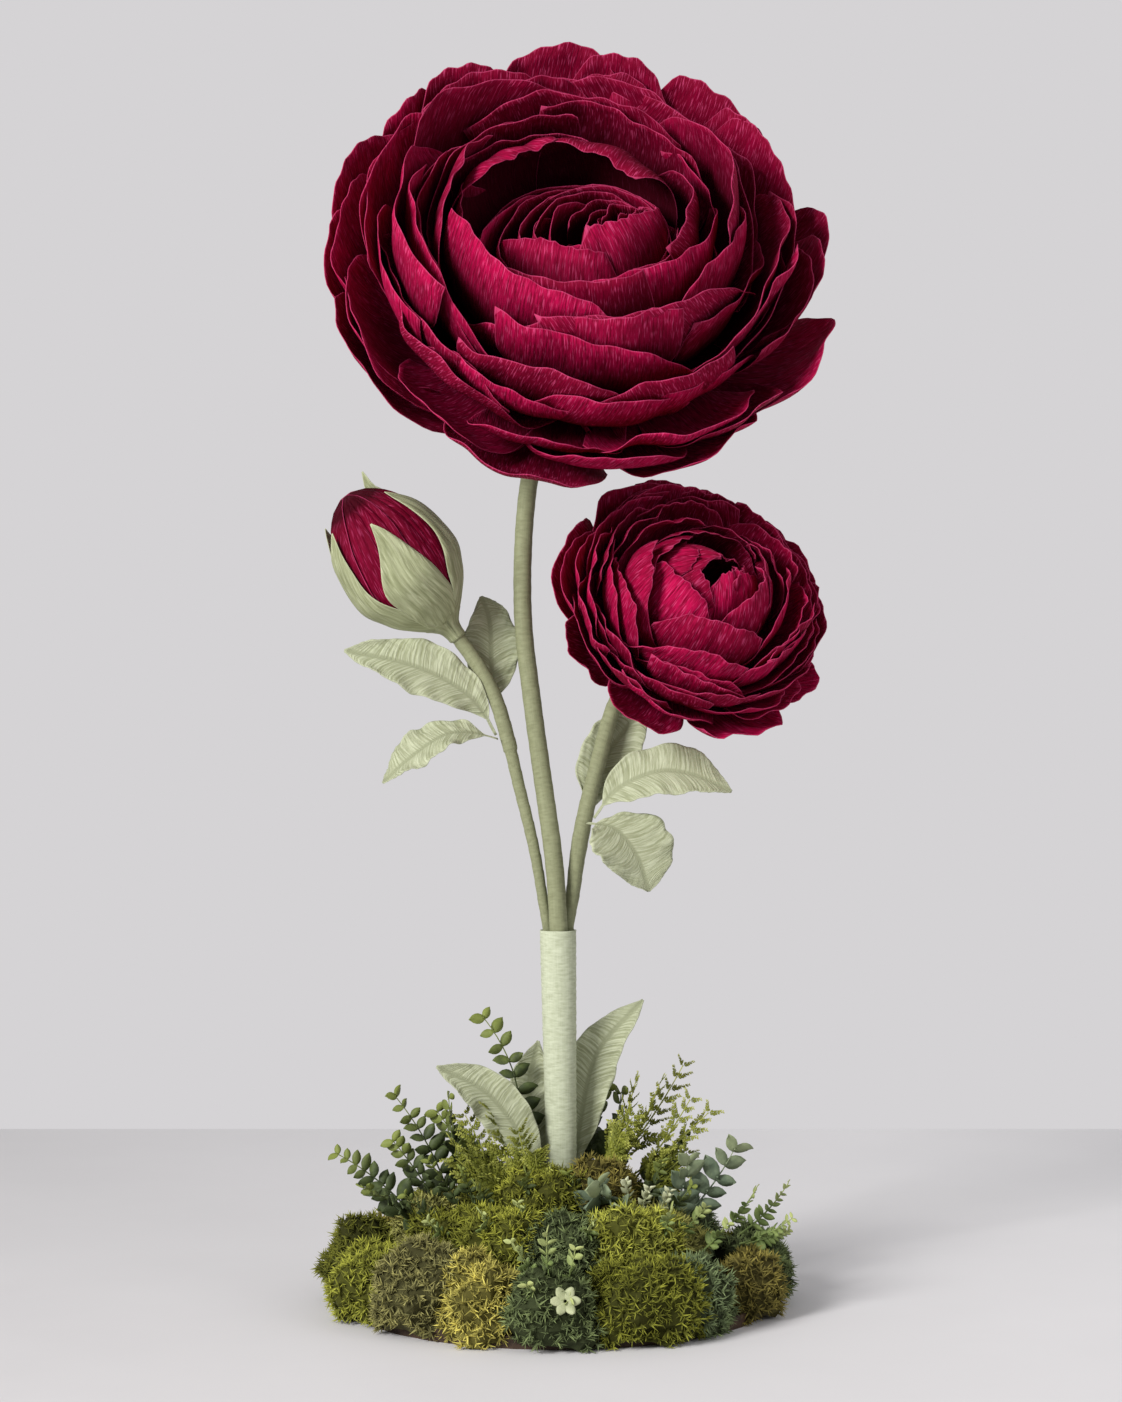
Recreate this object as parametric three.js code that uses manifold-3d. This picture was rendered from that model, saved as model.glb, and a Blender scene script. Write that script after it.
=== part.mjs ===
// A free-standing crepe paper peony: an open bloom, a half-open bloom and a bud on
// three wrapped stems that leave one wrapped trunk, with paper leaves, standing in a
// round base of board, foam, moss lumps and greenery sprigs.
// Millimetres, +Z up, the flower faces -Y, origin at the centre of the board's underside.

import * as THREE from "three";
import { LoftGeometry } from "three/addons/geometries/LoftGeometry.js";
import { ParametricGeometry } from "three/addons/geometries/ParametricGeometry.js";
import { mergeGeometries, mergeVertices } from "three/addons/utils/BufferGeometryUtils.js";
import Module from "manifold-3d";

const wasm = await Module();
wasm.setup();

// Driving dimensions
const PAPER = 1.0; // two laminated layers of heavy crepe with glue
const GAP = 0.3; // between pieces that touch
const STEM_GAP = 1; // between a stem's cut end and the calyx on it
const STEM_SIDES = 8;

const BOARD_RADIUS = 212;
const BOARD_TOP = 12;
const FOAM_LOWER_RADIUS = 150;
const FOAM_LOWER_TOP = 52;
const FOAM_UPPER_RADIUS = 86;
const FOAM_UPPER_TOP = 97;
const FOAM_BORE = 19;

const FLANGE_RADIUS = 40;
const FLANGE_PLATE = 4;
const COLLAR_RADIUS = 14;
const COLLAR_TOP = 34;
const COLLAR_BORE = 10;

const SLEEVE_BOTTOM = COLLAR_TOP + 1;
const SLEEVE_TOP = 371;
const SLEEVE_BOTTOM_RADIUS = 13.6;
const SLEEVE_TOP_RADIUS = 18;
const SLEEVE_WALL = 0.7;
const SLEEVE_LEAN = 5; // the trunk's foot stands this far to the right of its rim

const MAIN_HUB = new THREE.Vector3(11, 40, 990);
const MAIN_AXIS = new THREE.Vector3(0.085, -0.807, 0.585).normalize();
const MAIN_CALYX = 48; // depth of the calyx below the petals' hub
const SECOND_HUB = new THREE.Vector3(120, 20, 670);
const SECOND_AXIS = new THREE.Vector3(0.308, -0.803, 0.511).normalize();
const SECOND_CALYX = 32;
const BUD_BASE = new THREE.Vector3(-110, 0, 676);
const BUD_TIP = new THREE.Vector3(-211, -22, 803);

// Whorls from the outside in. Each line: petals, turn, then radius and height at the
// petal's base, belly, shoulder and tip, how round its edge is, and how far the back
// of the whorl stands above its front.
const MAIN_WHORLS = [
  [9, 0.21, [40, 0], [118, -38], [227, -10], [254, 96], 0.34, 48],
  [8, 0.52, [37, 4], [128, -26], [216, 17], [238, 113], 0.3, 35],
  [7, 0.2, [34, 8], [140, -16], [207, 42], [216, 128], 0.28, 23],
  [7, 0.0, [31, 12], [150, -7], [199, 64], [196, 141], 0.26, 9],
  [6, 0.75, [28, 16], [149, 1], [192, 80], [176, 150], 0.24, 2],
  [6, 0.3, [25, 20], [142, 6], [181, 92], [154, 160], 0.22, -6],
  [6, 0.0, [22, 24], [128, 10], [165, 98], [135, 162], 0.2, -12],
  [5, 0.5, [19, 28], [111, 10], [145, 92], [116, 157], 0.2, -14],
  [4, 0.3, [16, 32], [80, 14], [100, 84], [76, 140], 0.2, -6],
  [3, 0.1, [10, 37], [50, 20], [62, 84], [40, 134], 0.2, 0],
];
const SECOND_WHORLS = [
  [8, 0.3, [22, 0], [66, -20], [118, -4], [146, 42], 0.32, 3],
  [7, 0.0, [20, 3], [73, -13], [118, 10], [138, 57], 0.3, 3],
  [7, 0.4, [18, 6], [80, -7], [116, 26], [126, 71], 0.28, 2],
  [7, 0.15, [16, 9], [86, -3], [115, 41], [113, 84], 0.26, 2],
  [7, 0.6, [14, 12], [84, 2], [107, 54], [97, 96], 0.24, 0],
  [6, 0.3, [12, 15], [76, 6], [96, 63], [78, 106], 0.22, -2],
  [5, 0.0, [10, 18], [64, 9], [84, 70], [55, 114], 0.22, -2],
  [4, 0.2, [7, 21], [47, 11], [62, 72], [27, 116], 0.2, 0],
];
const BAND = 0.9; // share of its pitch that a petal fills at the notch
const FULL = 0.97; // and where it is widest
const NOTCH = 0.3; // share of the petal's length below the notches
const BACK_DRAWN_IN = 0.2; // how far the back petals stand in, per unit of their rise

// Leaves: midrib points, the way the blade faces at its base and tip, and its width
const LEAVES = {
  leaf_bud_left: [[[-62, 3, 566], [-81, -5, 598], [-110, -10, 620], [-150, -16, 637], [-212, -24, 650]],
    [-0.2, -0.9, 0.4], [-0.2, -0.9, 0.4], 56],
  leaf_bud_drooping: [[[-60, -7, 562], [-83, -14, 568], [-110, -22, 567], [-148, -37, 542], [-172, -46, 519]],
    [0, -0.55, 0.83], [-0.5, -0.7, 0.5], 50],
  leaf_bud_behind: [[[-64, 13, 590], [-67, 25, 629], [-70, 31, 684], [-78, 35, 706]],
    [0.25, -0.96, 0], [0.25, -0.96, 0.1], 60],
  leaf_second_behind: [[[32, 20, 478], [41, 27, 530], [64, 33, 566], [92, 36, 600]],
    [0.2, -0.95, 0.1], [0.1, -0.95, 0.2], 56],
  leaf_second_right: [[[36, 2, 483], [58, -6, 511], [100, -16, 530], [133, -22, 527], [172, -28, 510]],
    [0, -0.85, 0.5], [0.2, -0.85, 0.5], 58],
  leaf_second_folded: [[[29, -4, 478], [55, -26, 474], [77, -44, 448], [89, -54, 413]],
    [0.1, -0.6, 0.8], [0.45, -0.85, 0.3], 88],
  leaf_trunk_left: [[[-15, -6, 112], [-27, -13, 150], [-69, -23, 210], [-120, -34, 239]],
    [-0.5, -0.75, 0.3], [-0.3, -0.8, 0.5], 50],
  leaf_trunk_right: [[[15, 17, 112], [22, 23, 172], [40, 27, 245], [86, 30, 298]],
    [-0.25, -0.95, 0.1], [-0.1, -0.95, 0.25], 50],
  leaf_trunk_behind: [[[-9, 20, 112], [-22, 27, 165], [-29, 32, 211], [-20, 36, 256]],
    [0, -1, 0], [0, -1, 0.1], 46],
};
const LEAF_FOLD = 0.16; // rise of the blade's sides over its midrib, per unit of half width
const PETIOLE = 1.4; // half width of the leaf's stalk

// Moss: lumps per ring, ring radius, half depth across the ring, height, foot level
const MOSS_RINGS = {
  moss_outer: [12, 193, 35, 64, BOARD_TOP + GAP],
  moss_middle: [9, 121, 29, 50, FOAM_LOWER_TOP + GAP],
  moss_top: [6, 56, 26, 39, FOAM_UPPER_TOP + GAP],
};

// Sprigs: foot, lean of the stalk at its tip, leaf pairs, leaf length and width
const SPRIGS = {
  sprig_tall_left: [[-44, 4, 136], [-30, 2, 146], 5, 22, 11],
  sprig_back_left: [[-108, 30, 93], [-56, 4, 106], 5, 20, 11],
  sprig_low_left: [[-142, -20, 87], [-76, -6, 64], 5, 18, 9],
  sprig_fern_right: [[62, 26, 136], [64, 0, 96], 5, 19, 8],
  sprig_low_right: [[128, -24, 91], [46, -4, 64], 4, 24, 14],
  sprig_edge_right: [[184, -36, 77], [43, -4, 48], 4, 15, 6],
};
const STALK = 1.6; // half width of a sprig's stalk
const SPRIG_THICK = 2.4;
const STALK_FOOT = 12; // the stalk's foot sits this deep in the moss

// Finishes
const finish = (color, roughness) => new THREE.MeshStandardMaterial({ color, roughness, metalness: 0 });
const CRIMSON = finish("#83102f", 0.7);
const CRIMSON_DEEP = finish("#5e0a20", 0.75);
const SAGE = finish("#b2b79b", 0.75);
const SAGE_STEM = finish("#a6a98c", 0.7);
const MOSS_GREEN = finish("#5c5f20", 0.95);
const SPRIG_GREEN = finish("#4c5a33", 0.75);
const FOAM_GREEN = finish("#3d4a2c", 0.95);
const BOARD_BROWN = finish("#3a2a20", 0.7);
const STEEL_GREY = new THREE.MeshStandardMaterial({ color: "#8d9094", roughness: 0.4, metalness: 0.9 });

const peony = new THREE.Group();

function add(name, geometry, material) {
  const mesh = new THREE.Mesh(geometry, material);
  mesh.name = name;
  peony.add(mesh);
}

// Welding and joining

function weld(parts) {
  for (const part of parts) {
    part.deleteAttribute("normal");
    part.deleteAttribute("uv");
  }
  const merged = mergeVertices(mergeGeometries(parts), 1e-3);
  merged.computeVertexNormals();
  return merged;
}

function solid(geometry) {
  const bare = weld([geometry]);
  return new wasm.Manifold(new wasm.Mesh({
    numProp: 3,
    vertProperties: new Float32Array(bare.attributes.position.array),
    triVerts: new Uint32Array(bare.index.array),
  }));
}

function geometryOf(body) {
  const mesh = body.getMesh();
  const geometry = new THREE.BufferGeometry();
  geometry.setAttribute("position", new THREE.BufferAttribute(mesh.vertProperties, 3));
  geometry.setIndex(new THREE.BufferAttribute(mesh.triVerts, 1));
  geometry.computeVertexNormals();
  return geometry;
}

// Faces of a sheet: place(s, v, off) gives the point at s from -1 to 1 across the sheet,
// v from 0 to 1 along it, and off from its middle surface towards the side it faces.

const patch = (at, slices, stacks) =>
  new ParametricGeometry((u, v, target) => target.copy(at(u, v)), slices, stacks);

function sheetFaces(place, across, along, sides) {
  const half = PAPER / 2;
  const over = (u) => 2 * u - 1;
  const through = (u) => (2 * u - 1) * half;
  const faces = {
    front: () => patch((u, v) => place(over(u), v, half), across, along),
    back: () => patch((u, v) => place(over(v), u, -half), along, across),
    left: () => patch((u, v) => place(-1, v, through(u)), 1, along),
    right: () => patch((u, v) => place(1, v, through(1 - u)), 1, along),
    tip: () => patch((u, v) => place(over(v), 1, through(u)), 1, across),
    base: () => patch((u, v) => place(over(1 - v), 0, through(u)), 1, across),
  };
  return sides.map((side) => faces[side]());
}

const sheetBody = (place, across, along) =>
  weld(sheetFaces(place, across, along, ["front", "back", "left", "right", "tip", "base"]));

// A repeatable value from -1 to 1 for the k-th petal of a whorl
function drift(whorl, k) {
  const x = Math.sin(whorl * 12.9898 + k * 78.233) * 43758.5453;
  return 2 * (x - Math.floor(x)) - 1;
}

// Blooms

const EDGE_POWER = 2.6; // how square the petal's outer edge is
const LENGTH_DRIFT = 0.05;

function petalWhorl(index, line, columns) {
  const [petals, turn, base, belly, shoulder, tip, round, lean] = line;
  const pitch = (2 * Math.PI) / petals;

  // Point on the whorl's surface of revolution: angle, share of the length, offset outwards
  function at(angle, t, off) {
    const lift = lean * Math.sin(angle);
    const profile = new THREE.CubicBezierCurve(
      new THREE.Vector2(...base),
      new THREE.Vector2(...belly),
      new THREE.Vector2(shoulder[0], shoulder[1] + 0.55 * lift),
      new THREE.Vector2(tip[0] - BACK_DRAWN_IN * Math.abs(lean) * Math.sin(angle), tip[1] + lift),
    );
    const point = profile.getPoint(t);
    const along = profile.getTangent(Math.min(t, 1));
    const radius = point.x + along.y * off;
    return new THREE.Vector3(radius * Math.cos(angle), radius * Math.sin(angle), point.y - along.x * off);
  }

  const faces = [];
  for (let k = 0; k < petals; k += 1) {
    const centre = turn + k * pitch;
    const length = 1 + LENGTH_DRIFT * drift(index, k);
    const band = (s, v, off) => at(centre + 0.5 * s * BAND * pitch, v * NOTCH, off);
    const web = (s, v, off) => at(centre + 0.5 * pitch * (1 + s * (1 - BAND)), v * NOTCH, off);
    const blade = (s, v, off) => {
      const width = BAND + (FULL - BAND) * v;
      const reach = v * (length - 1.3 * round * Math.abs(s) ** EDGE_POWER);
      return at(centre + 0.5 * s * width * pitch, NOTCH + (1 - NOTCH) * reach, off);
    };
    faces.push(...sheetFaces(band, columns, 1, ["front", "back", "base"]));
    faces.push(...sheetFaces(web, 1, 1, ["front", "back", "base", "tip"]));
    faces.push(...sheetFaces(blade, columns, 2, ["front", "back", "left", "right", "tip"]));
  }
  return weld(faces);
}

// Turns a shape drawn around +Z at the origin to stand at a hub along an axis,
// with its own X towards the flower's right
function standAt(geometry, hub, axis) {
  const right = new THREE.Vector3(0, 0, 1).cross(axis).normalize();
  const up = new THREE.Vector3().crossVectors(axis, right);
  geometry.applyMatrix4(new THREE.Matrix4().makeBasis(right, up, axis).setPosition(hub));
  return geometry;
}

// A turned shape around +Z from radius and height pairs that start and end on the axis
function turned(profile, sides) {
  const points = profile.map(([radius, height]) => new THREE.Vector2(radius, height));
  return new THREE.LatheGeometry(points, sides).rotateX(Math.PI / 2);
}

function bloom(name, whorls, hub, axis, calyx) {
  add(`${name}_calyx`, standAt(weld([turned(calyx, 8)]), hub, axis), SAGE);
  whorls.forEach((line, index) => {
    const columns = name === "main" && index < 3 ? 4 : 3;
    const petals = petalWhorl(index, line, columns);
    const material = index < 5 ? CRIMSON : CRIMSON_DEEP;
    add(`${name}_petals_${index + 1}`, standAt(petals, hub, axis), material);
  });
}

const MAIN_CALYX_PROFILE = [
  [0, -MAIN_CALYX], [10.5, -MAIN_CALYX], [14, -34], [27, -20], [39.2, -0.6], [15.2, 31.4], [9.2, 36.4], [0, 36.4],
];
const SECOND_CALYX_PROFILE = [
  [0, -SECOND_CALYX], [8.5, -SECOND_CALYX], [11, -22], [17, -11], [21.2, -0.5], [9.2, 17.5], [6.2, 20.4], [0, 20.4],
];

bloom("main", MAIN_WHORLS, MAIN_HUB, MAIN_AXIS, MAIN_CALYX_PROFILE);
bloom("second", SECOND_WHORLS, SECOND_HUB, SECOND_AXIS, SECOND_CALYX_PROFILE);

// Bud: wrapped petals as one egg, held by sepals

const BUD_SIDES = 10;
const BUD_PROFILE = new THREE.SplineCurve([
  [9, 0], [33, 0.1], [52, 0.24], [58, 0.42], [52, 0.63], [35, 0.83], [15, 0.97], [6, 1],
].map(([radius, share]) => new THREE.Vector2(radius, share)));
const BUD_LENGTH = BUD_BASE.distanceTo(BUD_TIP);
const BUD_AXIS = BUD_TIP.clone().sub(BUD_BASE).normalize();
const BUD_ROWS = 6;
// Sepals: turn around the bud, half angle, share of the bud's length, lift of the tip
const SEPALS = [
  [-1.75, 0.62, 0.72, 4], [-0.45, 0.6, 0.98, 16], [0.82, 0.56, 1.02, 20], [2.1, 0.58, 0.92, 14], [3.28, 0.55, 0.86, 10],
];
const SEPAL_CLEAR = 4.2; // middle of the sepal above the petals
const CALYX_FOOT = 0.03;

const budRow = (share) => {
  const point = BUD_PROFILE.getPoint(share);
  return [point.x, point.y * BUD_LENGTH];
};
const budRows = Array.from({ length: BUD_ROWS + 1 }, (_, i) => budRow(i / BUD_ROWS));
const budShape = [[0, budRows[0][1]], ...budRows, [0, budRows[BUD_ROWS][1]]];
add("bud_petals", standAt(weld([turned(budShape, BUD_SIDES)]), BUD_BASE, BUD_AXIS), CRIMSON);

SEPALS.forEach(([turn, halfAngle, reach, lift], index) => {
  const blade = (s, v, off) => {
    const [radius, height] = budRow(CALYX_FOOT + v ** 1.5 * (reach - CALYX_FOOT) * 0.86);
    const width = halfAngle * Math.sqrt(Math.max(0.004, 1 - v ** 1.8)) * (1 - 0.35 * v);
    const out = radius + SEPAL_CLEAR + off + lift * v ** 4;
    const angle = turn + s * width;
    return new THREE.Vector3(out * Math.cos(angle), out * Math.sin(angle), height + 4 * v);
  };
  add(`bud_sepal_${index + 1}`, standAt(sheetBody(blade, 3, 4), BUD_BASE, BUD_AXIS), SAGE);
});

// Stems: round sections along a smooth path, thinning from the first radius to the last

function stem(points, radii) {
  const path = new THREE.CatmullRomCurve3(points.map((point) => new THREE.Vector3(...point)));
  const steps = points.length + 1;
  const frames = path.computeFrenetFrames(steps);
  const sections = [];
  for (let i = 0; i <= steps; i += 1) {
    const centre = path.getPointAt(i / steps);
    const radius = THREE.MathUtils.lerp(radii[0], radii[1], i / steps);
    const ring = [];
    for (let j = 0; j < STEM_SIDES; j += 1) {
      const angle = (2 * Math.PI * j) / STEM_SIDES;
      ring.push(centre.clone()
        .addScaledVector(frames.normals[i], radius * Math.cos(angle))
        .addScaledVector(frames.binormals[i], radius * Math.sin(angle)));
    }
    sections.push(ring);
  }
  return weld([new LoftGeometry(sections, { capStart: true, capEnd: true })]);
}

const below = (hub, axis, depth) => hub.clone().addScaledVector(axis, -depth - STEM_GAP).toArray();
const STEM_FOOT = BOARD_TOP + FLANGE_PLATE + 2 * GAP;
const SIDE_STEM_FOOT = SLEEVE_TOP - 30;

add("main_stem", stem([
  [4.9, 0, STEM_FOOT], [3.6, -1, 120], [1.8, -4, 250], [0.5, -6.8, 371], [-4, -4, 440], [-15, 4, 520], [-26, 12, 600],
  [-35, 20, 680], [-35, 32, 760], [-29, 50, 826], [-15, 78, 888],
  below(MAIN_HUB, MAIN_AXIS, MAIN_CALYX + 24), below(MAIN_HUB, MAIN_AXIS, MAIN_CALYX),
], [9.2, 9]), SAGE_STEM);
add("second_stem", stem([
  [9, 5.4, SIDE_STEM_FOOT], [9.4, 5.6, 372], [15, 7, 408], [19, 8, 440], [26, 9, 480], [39, 13, 533], [58, 24, 598],
  [80, 48, 630], below(SECOND_HUB, SECOND_AXIS, SECOND_CALYX + 16), below(SECOND_HUB, SECOND_AXIS, SECOND_CALYX),
], [5.4, 7.4]), SAGE_STEM);
add("bud_stem", stem([
  [-10.2, 4.4, SIDE_STEM_FOOT], [-10.6, 4.5, 372], [-15, 5, 400], [-21, 4, 437], [-27, 3, 466], [-40, 2, 519],
  [-50, 2, 561], [-62, 1, 601], [-76, 1, 629], [-96, 3, 658],
  below(BUD_BASE, BUD_AXIS, 0),
], [4.4, 7.2]), SAGE_STEM);

// Trunk: a paper sleeve around the three stems

function ringLoft(sections) {
  return weld([new LoftGeometry(sections, { capStart: false, capEnd: false })]);
}

function sleeve() {
  const sides = 14;
  const circle = (radius, x, z) => Array.from({ length: sides }, (_, j) => {
    const angle = (2 * Math.PI * j) / sides;
    return new THREE.Vector3(x + radius * Math.cos(angle), radius * Math.sin(angle), z);
  });
  const foot = circle(SLEEVE_BOTTOM_RADIUS, SLEEVE_LEAN, SLEEVE_BOTTOM);
  const rim = circle(SLEEVE_TOP_RADIUS, 0, SLEEVE_TOP);
  const innerRim = circle(SLEEVE_TOP_RADIUS - SLEEVE_WALL, 0, SLEEVE_TOP);
  const innerFoot = circle(SLEEVE_BOTTOM_RADIUS - SLEEVE_WALL, SLEEVE_LEAN, SLEEVE_BOTTOM);
  return ringLoft([foot, rim, innerRim, innerFoot, foot]);
}
add("trunk_wrap", sleeve(), SAGE);

// Leaves: a folded blade along a midrib

function leaf([points, faceBase, faceTip, width]) {
  const midrib = new THREE.CatmullRomCurve3(points.map((point) => new THREE.Vector3(...point)));
  const towards = new THREE.Vector3(...faceBase);
  const turning = new THREE.Vector3(...faceTip).sub(towards);
  const blade = (s, v, off) => {
    const tangent = midrib.getTangentAt(v);
    const side = tangent.clone().cross(towards.clone().addScaledVector(turning, v)).normalize();
    const face = side.clone().cross(tangent);
    const half = Math.max(PETIOLE, 0.5 * width * Math.sin(Math.PI * Math.max(0, v - 0.1) / 0.9) ** 0.8);
    return midrib.getPointAt(v)
      .addScaledVector(side, s * half)
      .addScaledVector(face, off + LEAF_FOLD * Math.abs(s) * half);
  };
  return sheetBody(blade, 2, 6);
}
for (const [name, shape] of Object.entries(LEAVES)) add(name, leaf(shape), SAGE);

// Base: board, flange and two rounds of foam

const bored = (radius, bore, low, high) =>
  turned([[bore, low], [radius, low], [radius, high], [bore, high], [bore, low]], 12);

add("base_board", weld([turned([[0, 0], [BOARD_RADIUS, 0], [BOARD_RADIUS, BOARD_TOP], [0, BOARD_TOP]], 32)]),
  BOARD_BROWN);
const flangeFoot = BOARD_TOP + GAP;
const flangePlate = flangeFoot + FLANGE_PLATE;
add("floor_flange", weld([turned([
  [0, flangeFoot], [FLANGE_RADIUS, flangeFoot], [FLANGE_RADIUS, flangePlate], [COLLAR_RADIUS, flangePlate],
  [COLLAR_RADIUS, COLLAR_TOP], [COLLAR_BORE, COLLAR_TOP], [COLLAR_BORE, flangePlate], [0, flangePlate],
], 12)]).translate(SLEEVE_LEAN, 0, 0), STEEL_GREY);
add("foam_lower", weld([bored(FOAM_LOWER_RADIUS, FLANGE_RADIUS + SLEEVE_LEAN + 2, BOARD_TOP + GAP, FOAM_LOWER_TOP)]),
  FOAM_GREEN);
add("foam_upper", weld([bored(FOAM_UPPER_RADIUS, FOAM_BORE + SLEEVE_LEAN, FOAM_LOWER_TOP + GAP, FOAM_UPPER_TOP)]),
  FOAM_GREEN);

// Moss: rings of lumps that run into each other

// Section of a lump across its ring: share of the half depth and share of the height
const LUMP_SECTION = [[-1, 0], [-1.1, 0.36], [-0.66, 0.86], [0.66, 0.86], [1.1, 0.36], [1, 0]];
const LUMP_CROWN = 1.12; // the lump's middle stands above its shoulders
const VALLEY = 0.76; // size of the moss between two lumps, as a share of the lump
const LUMP_STEPS = 3;

function mossRing([lumps, ringRadius, depth, height, foot]) {
  const steps = lumps * LUMP_STEPS;
  const sections = [];
  for (let i = 0; i <= steps; i += 1) {
    const angle = (2 * Math.PI * i) / steps;
    const swell = i % LUMP_STEPS === 0 ? VALLEY : 1;
    const tall = height * swell * (1 + 0.1 * drift(lumps, Math.floor((i % steps) / LUMP_STEPS)));
    sections.push(LUMP_SECTION.map(([across, up]) => {
      const radius = ringRadius + depth * across * (0.5 + 0.5 * swell);
      const level = foot + tall * up * (Math.abs(across) < 1 ? LUMP_CROWN : 1);
      return new THREE.Vector3(radius * Math.cos(angle), radius * Math.sin(angle), level);
    }));
  }
  sections[steps] = sections[0];
  return new LoftGeometry(sections);
}

// Sprigs: a flat stalk with leaves in pairs, pushed into the moss

function sprigOutline(length, pairs, leafLength, leafWidth) {
  const leaves = Array.from({ length: pairs }, (_, k) => {
    const up = length * (0.26 + (0.66 * k) / (pairs - 1));
    const grow = 1.1 - (0.45 * k) / (pairs - 1);
    return [
      [STALK, up], [STALK + 0.62 * leafLength * grow, up + 0.1 * leafLength],
      [STALK + 0.86 * leafLength * grow, up + 0.62 * leafLength * grow], [STALK, up + 0.75 * leafWidth * grow],
    ];
  }).flat();
  const right = [[STALK, -STALK_FOOT], ...leaves];
  const left = right.map(([x, y]) => [-x, y]).reverse();
  return new THREE.Shape([...right, [0, length], ...left].map(([x, y]) => new THREE.Vector2(x, y)));
}

const SPRIG_FACE = new THREE.Vector3(0, -1, 0);

function sprig([foot, lean, pairs, leafLength, leafWidth]) {
  const along = new THREE.Vector3(...lean);
  const outline = sprigOutline(along.length(), pairs, leafLength, leafWidth);
  const flat = new THREE.ExtrudeGeometry(outline, { depth: SPRIG_THICK, bevelEnabled: false });
  along.normalize();
  const right = along.clone().cross(SPRIG_FACE).normalize();
  const face = right.clone().cross(along);
  flat.translate(0, 0, -SPRIG_THICK / 2);
  flat.applyMatrix4(new THREE.Matrix4().makeBasis(right, along, face).setPosition(...foot));
  return weld([flat]);
}

// The slot that a sprig's foot leaves in the moss
function sprigSocket([foot, lean]) {
  const along = new THREE.Vector3(...lean).normalize();
  const right = along.clone().cross(SPRIG_FACE).normalize();
  const face = right.clone().cross(along);
  const clear = 2 * GAP;
  const depth = STALK_FOOT + clear;
  const slot = new THREE.BoxGeometry(2 * STALK + clear, 2 * depth, SPRIG_THICK + clear);
  slot.applyMatrix4(new THREE.Matrix4().makeBasis(right, along, face).setPosition(...foot));
  return solid(slot);
}

for (const [name, line] of Object.entries(MOSS_RINGS)) {
  const ring = solid(mossRing(line));
  const slotted = Object.values(SPRIGS).reduce((whole, shape) => whole.subtract(sprigSocket(shape)), ring);
  add(name, geometryOf(slotted), MOSS_GREEN);
}
for (const [name, line] of Object.entries(SPRIGS)) add(name, sprig(line), SPRIG_GREEN);

export default peony;
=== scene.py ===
# %% [markdown]
# # A crepe paper peony on a mossy stand
# The real object is a giant paper flower that stands on its own: an open bloom, a half-open
# bloom and a bud on three wrapped stems, paper leaves, and a round base that is dressed with
# moss and greenery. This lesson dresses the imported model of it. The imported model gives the
# frame, so every piece below is made in metres in the same place as the solid it stands for.

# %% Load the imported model
import math
from collections import namedtuple

import bpy
import numpy as np
from mathutils import Matrix, Vector


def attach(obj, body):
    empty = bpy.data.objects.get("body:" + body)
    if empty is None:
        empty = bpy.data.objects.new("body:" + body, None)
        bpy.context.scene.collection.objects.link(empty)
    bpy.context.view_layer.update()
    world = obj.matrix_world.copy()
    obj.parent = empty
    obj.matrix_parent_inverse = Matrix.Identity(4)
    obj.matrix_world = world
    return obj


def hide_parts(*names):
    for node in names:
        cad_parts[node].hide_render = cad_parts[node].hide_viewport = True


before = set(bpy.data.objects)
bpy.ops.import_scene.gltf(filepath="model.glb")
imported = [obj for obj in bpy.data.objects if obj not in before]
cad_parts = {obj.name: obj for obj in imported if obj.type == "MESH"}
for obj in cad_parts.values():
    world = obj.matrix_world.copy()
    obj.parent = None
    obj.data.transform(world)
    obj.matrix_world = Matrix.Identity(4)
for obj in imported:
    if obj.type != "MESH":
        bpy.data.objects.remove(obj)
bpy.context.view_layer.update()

MM = 0.001

# %% [markdown]
# ## Node trees written as Python
# Materials and Geometry Nodes are both node trees. Two small classes keep them readable: a
# Socket can be used in sums and products, and each operator adds the Math node it needs, and
# NodeTree.node adds any other node from its type, its settings and its inputs.

# %% Sockets and node trees
class Socket:
    """A node's output that can stand in a Python expression."""

    def __init__(self, tree, socket):
        self.tree = tree
        self.socket = socket

    def output(self, index):
        return Socket(self.tree, self.socket.node.outputs[index])

    def maths(self, operation, *values):
        return self.tree.node("ShaderNodeMath", {"operation": operation}, dict(enumerate(values)))

    def __add__(self, other):
        return self.maths("ADD", self, other)

    def __radd__(self, other):
        return self.maths("ADD", other, self)

    def __sub__(self, other):
        return self.maths("SUBTRACT", self, other)

    def __rsub__(self, other):
        return self.maths("SUBTRACT", other, self)

    def __mul__(self, other):
        return self.maths("MULTIPLY", self, other)

    def __rmul__(self, other):
        return self.maths("MULTIPLY", other, self)

    def __truediv__(self, other):
        return self.maths("DIVIDE", self, other)

    def __rtruediv__(self, other):
        return self.maths("DIVIDE", other, self)

    def __abs__(self):
        return self.maths("ABSOLUTE", self)

    def fraction(self):
        return self.maths("FRACT", self)


class NodeTree:
    """Adds nodes to a shader or geometry tree."""

    def __init__(self, tree):
        self.tree = tree

    def node(self, kind, settings=None, sockets=None, out=0):
        made = self.tree.nodes.new(kind)
        for name, value in (settings or {}).items():
            setattr(made, name, value)
        for key, value in (sockets or {}).items():
            for item in value if isinstance(value, list) else [value]:
                if isinstance(item, Socket):
                    self.tree.links.new(item.socket, made.inputs[key])
                else:
                    made.inputs[key].default_value = item
        return Socket(self, made.outputs[out])


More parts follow.
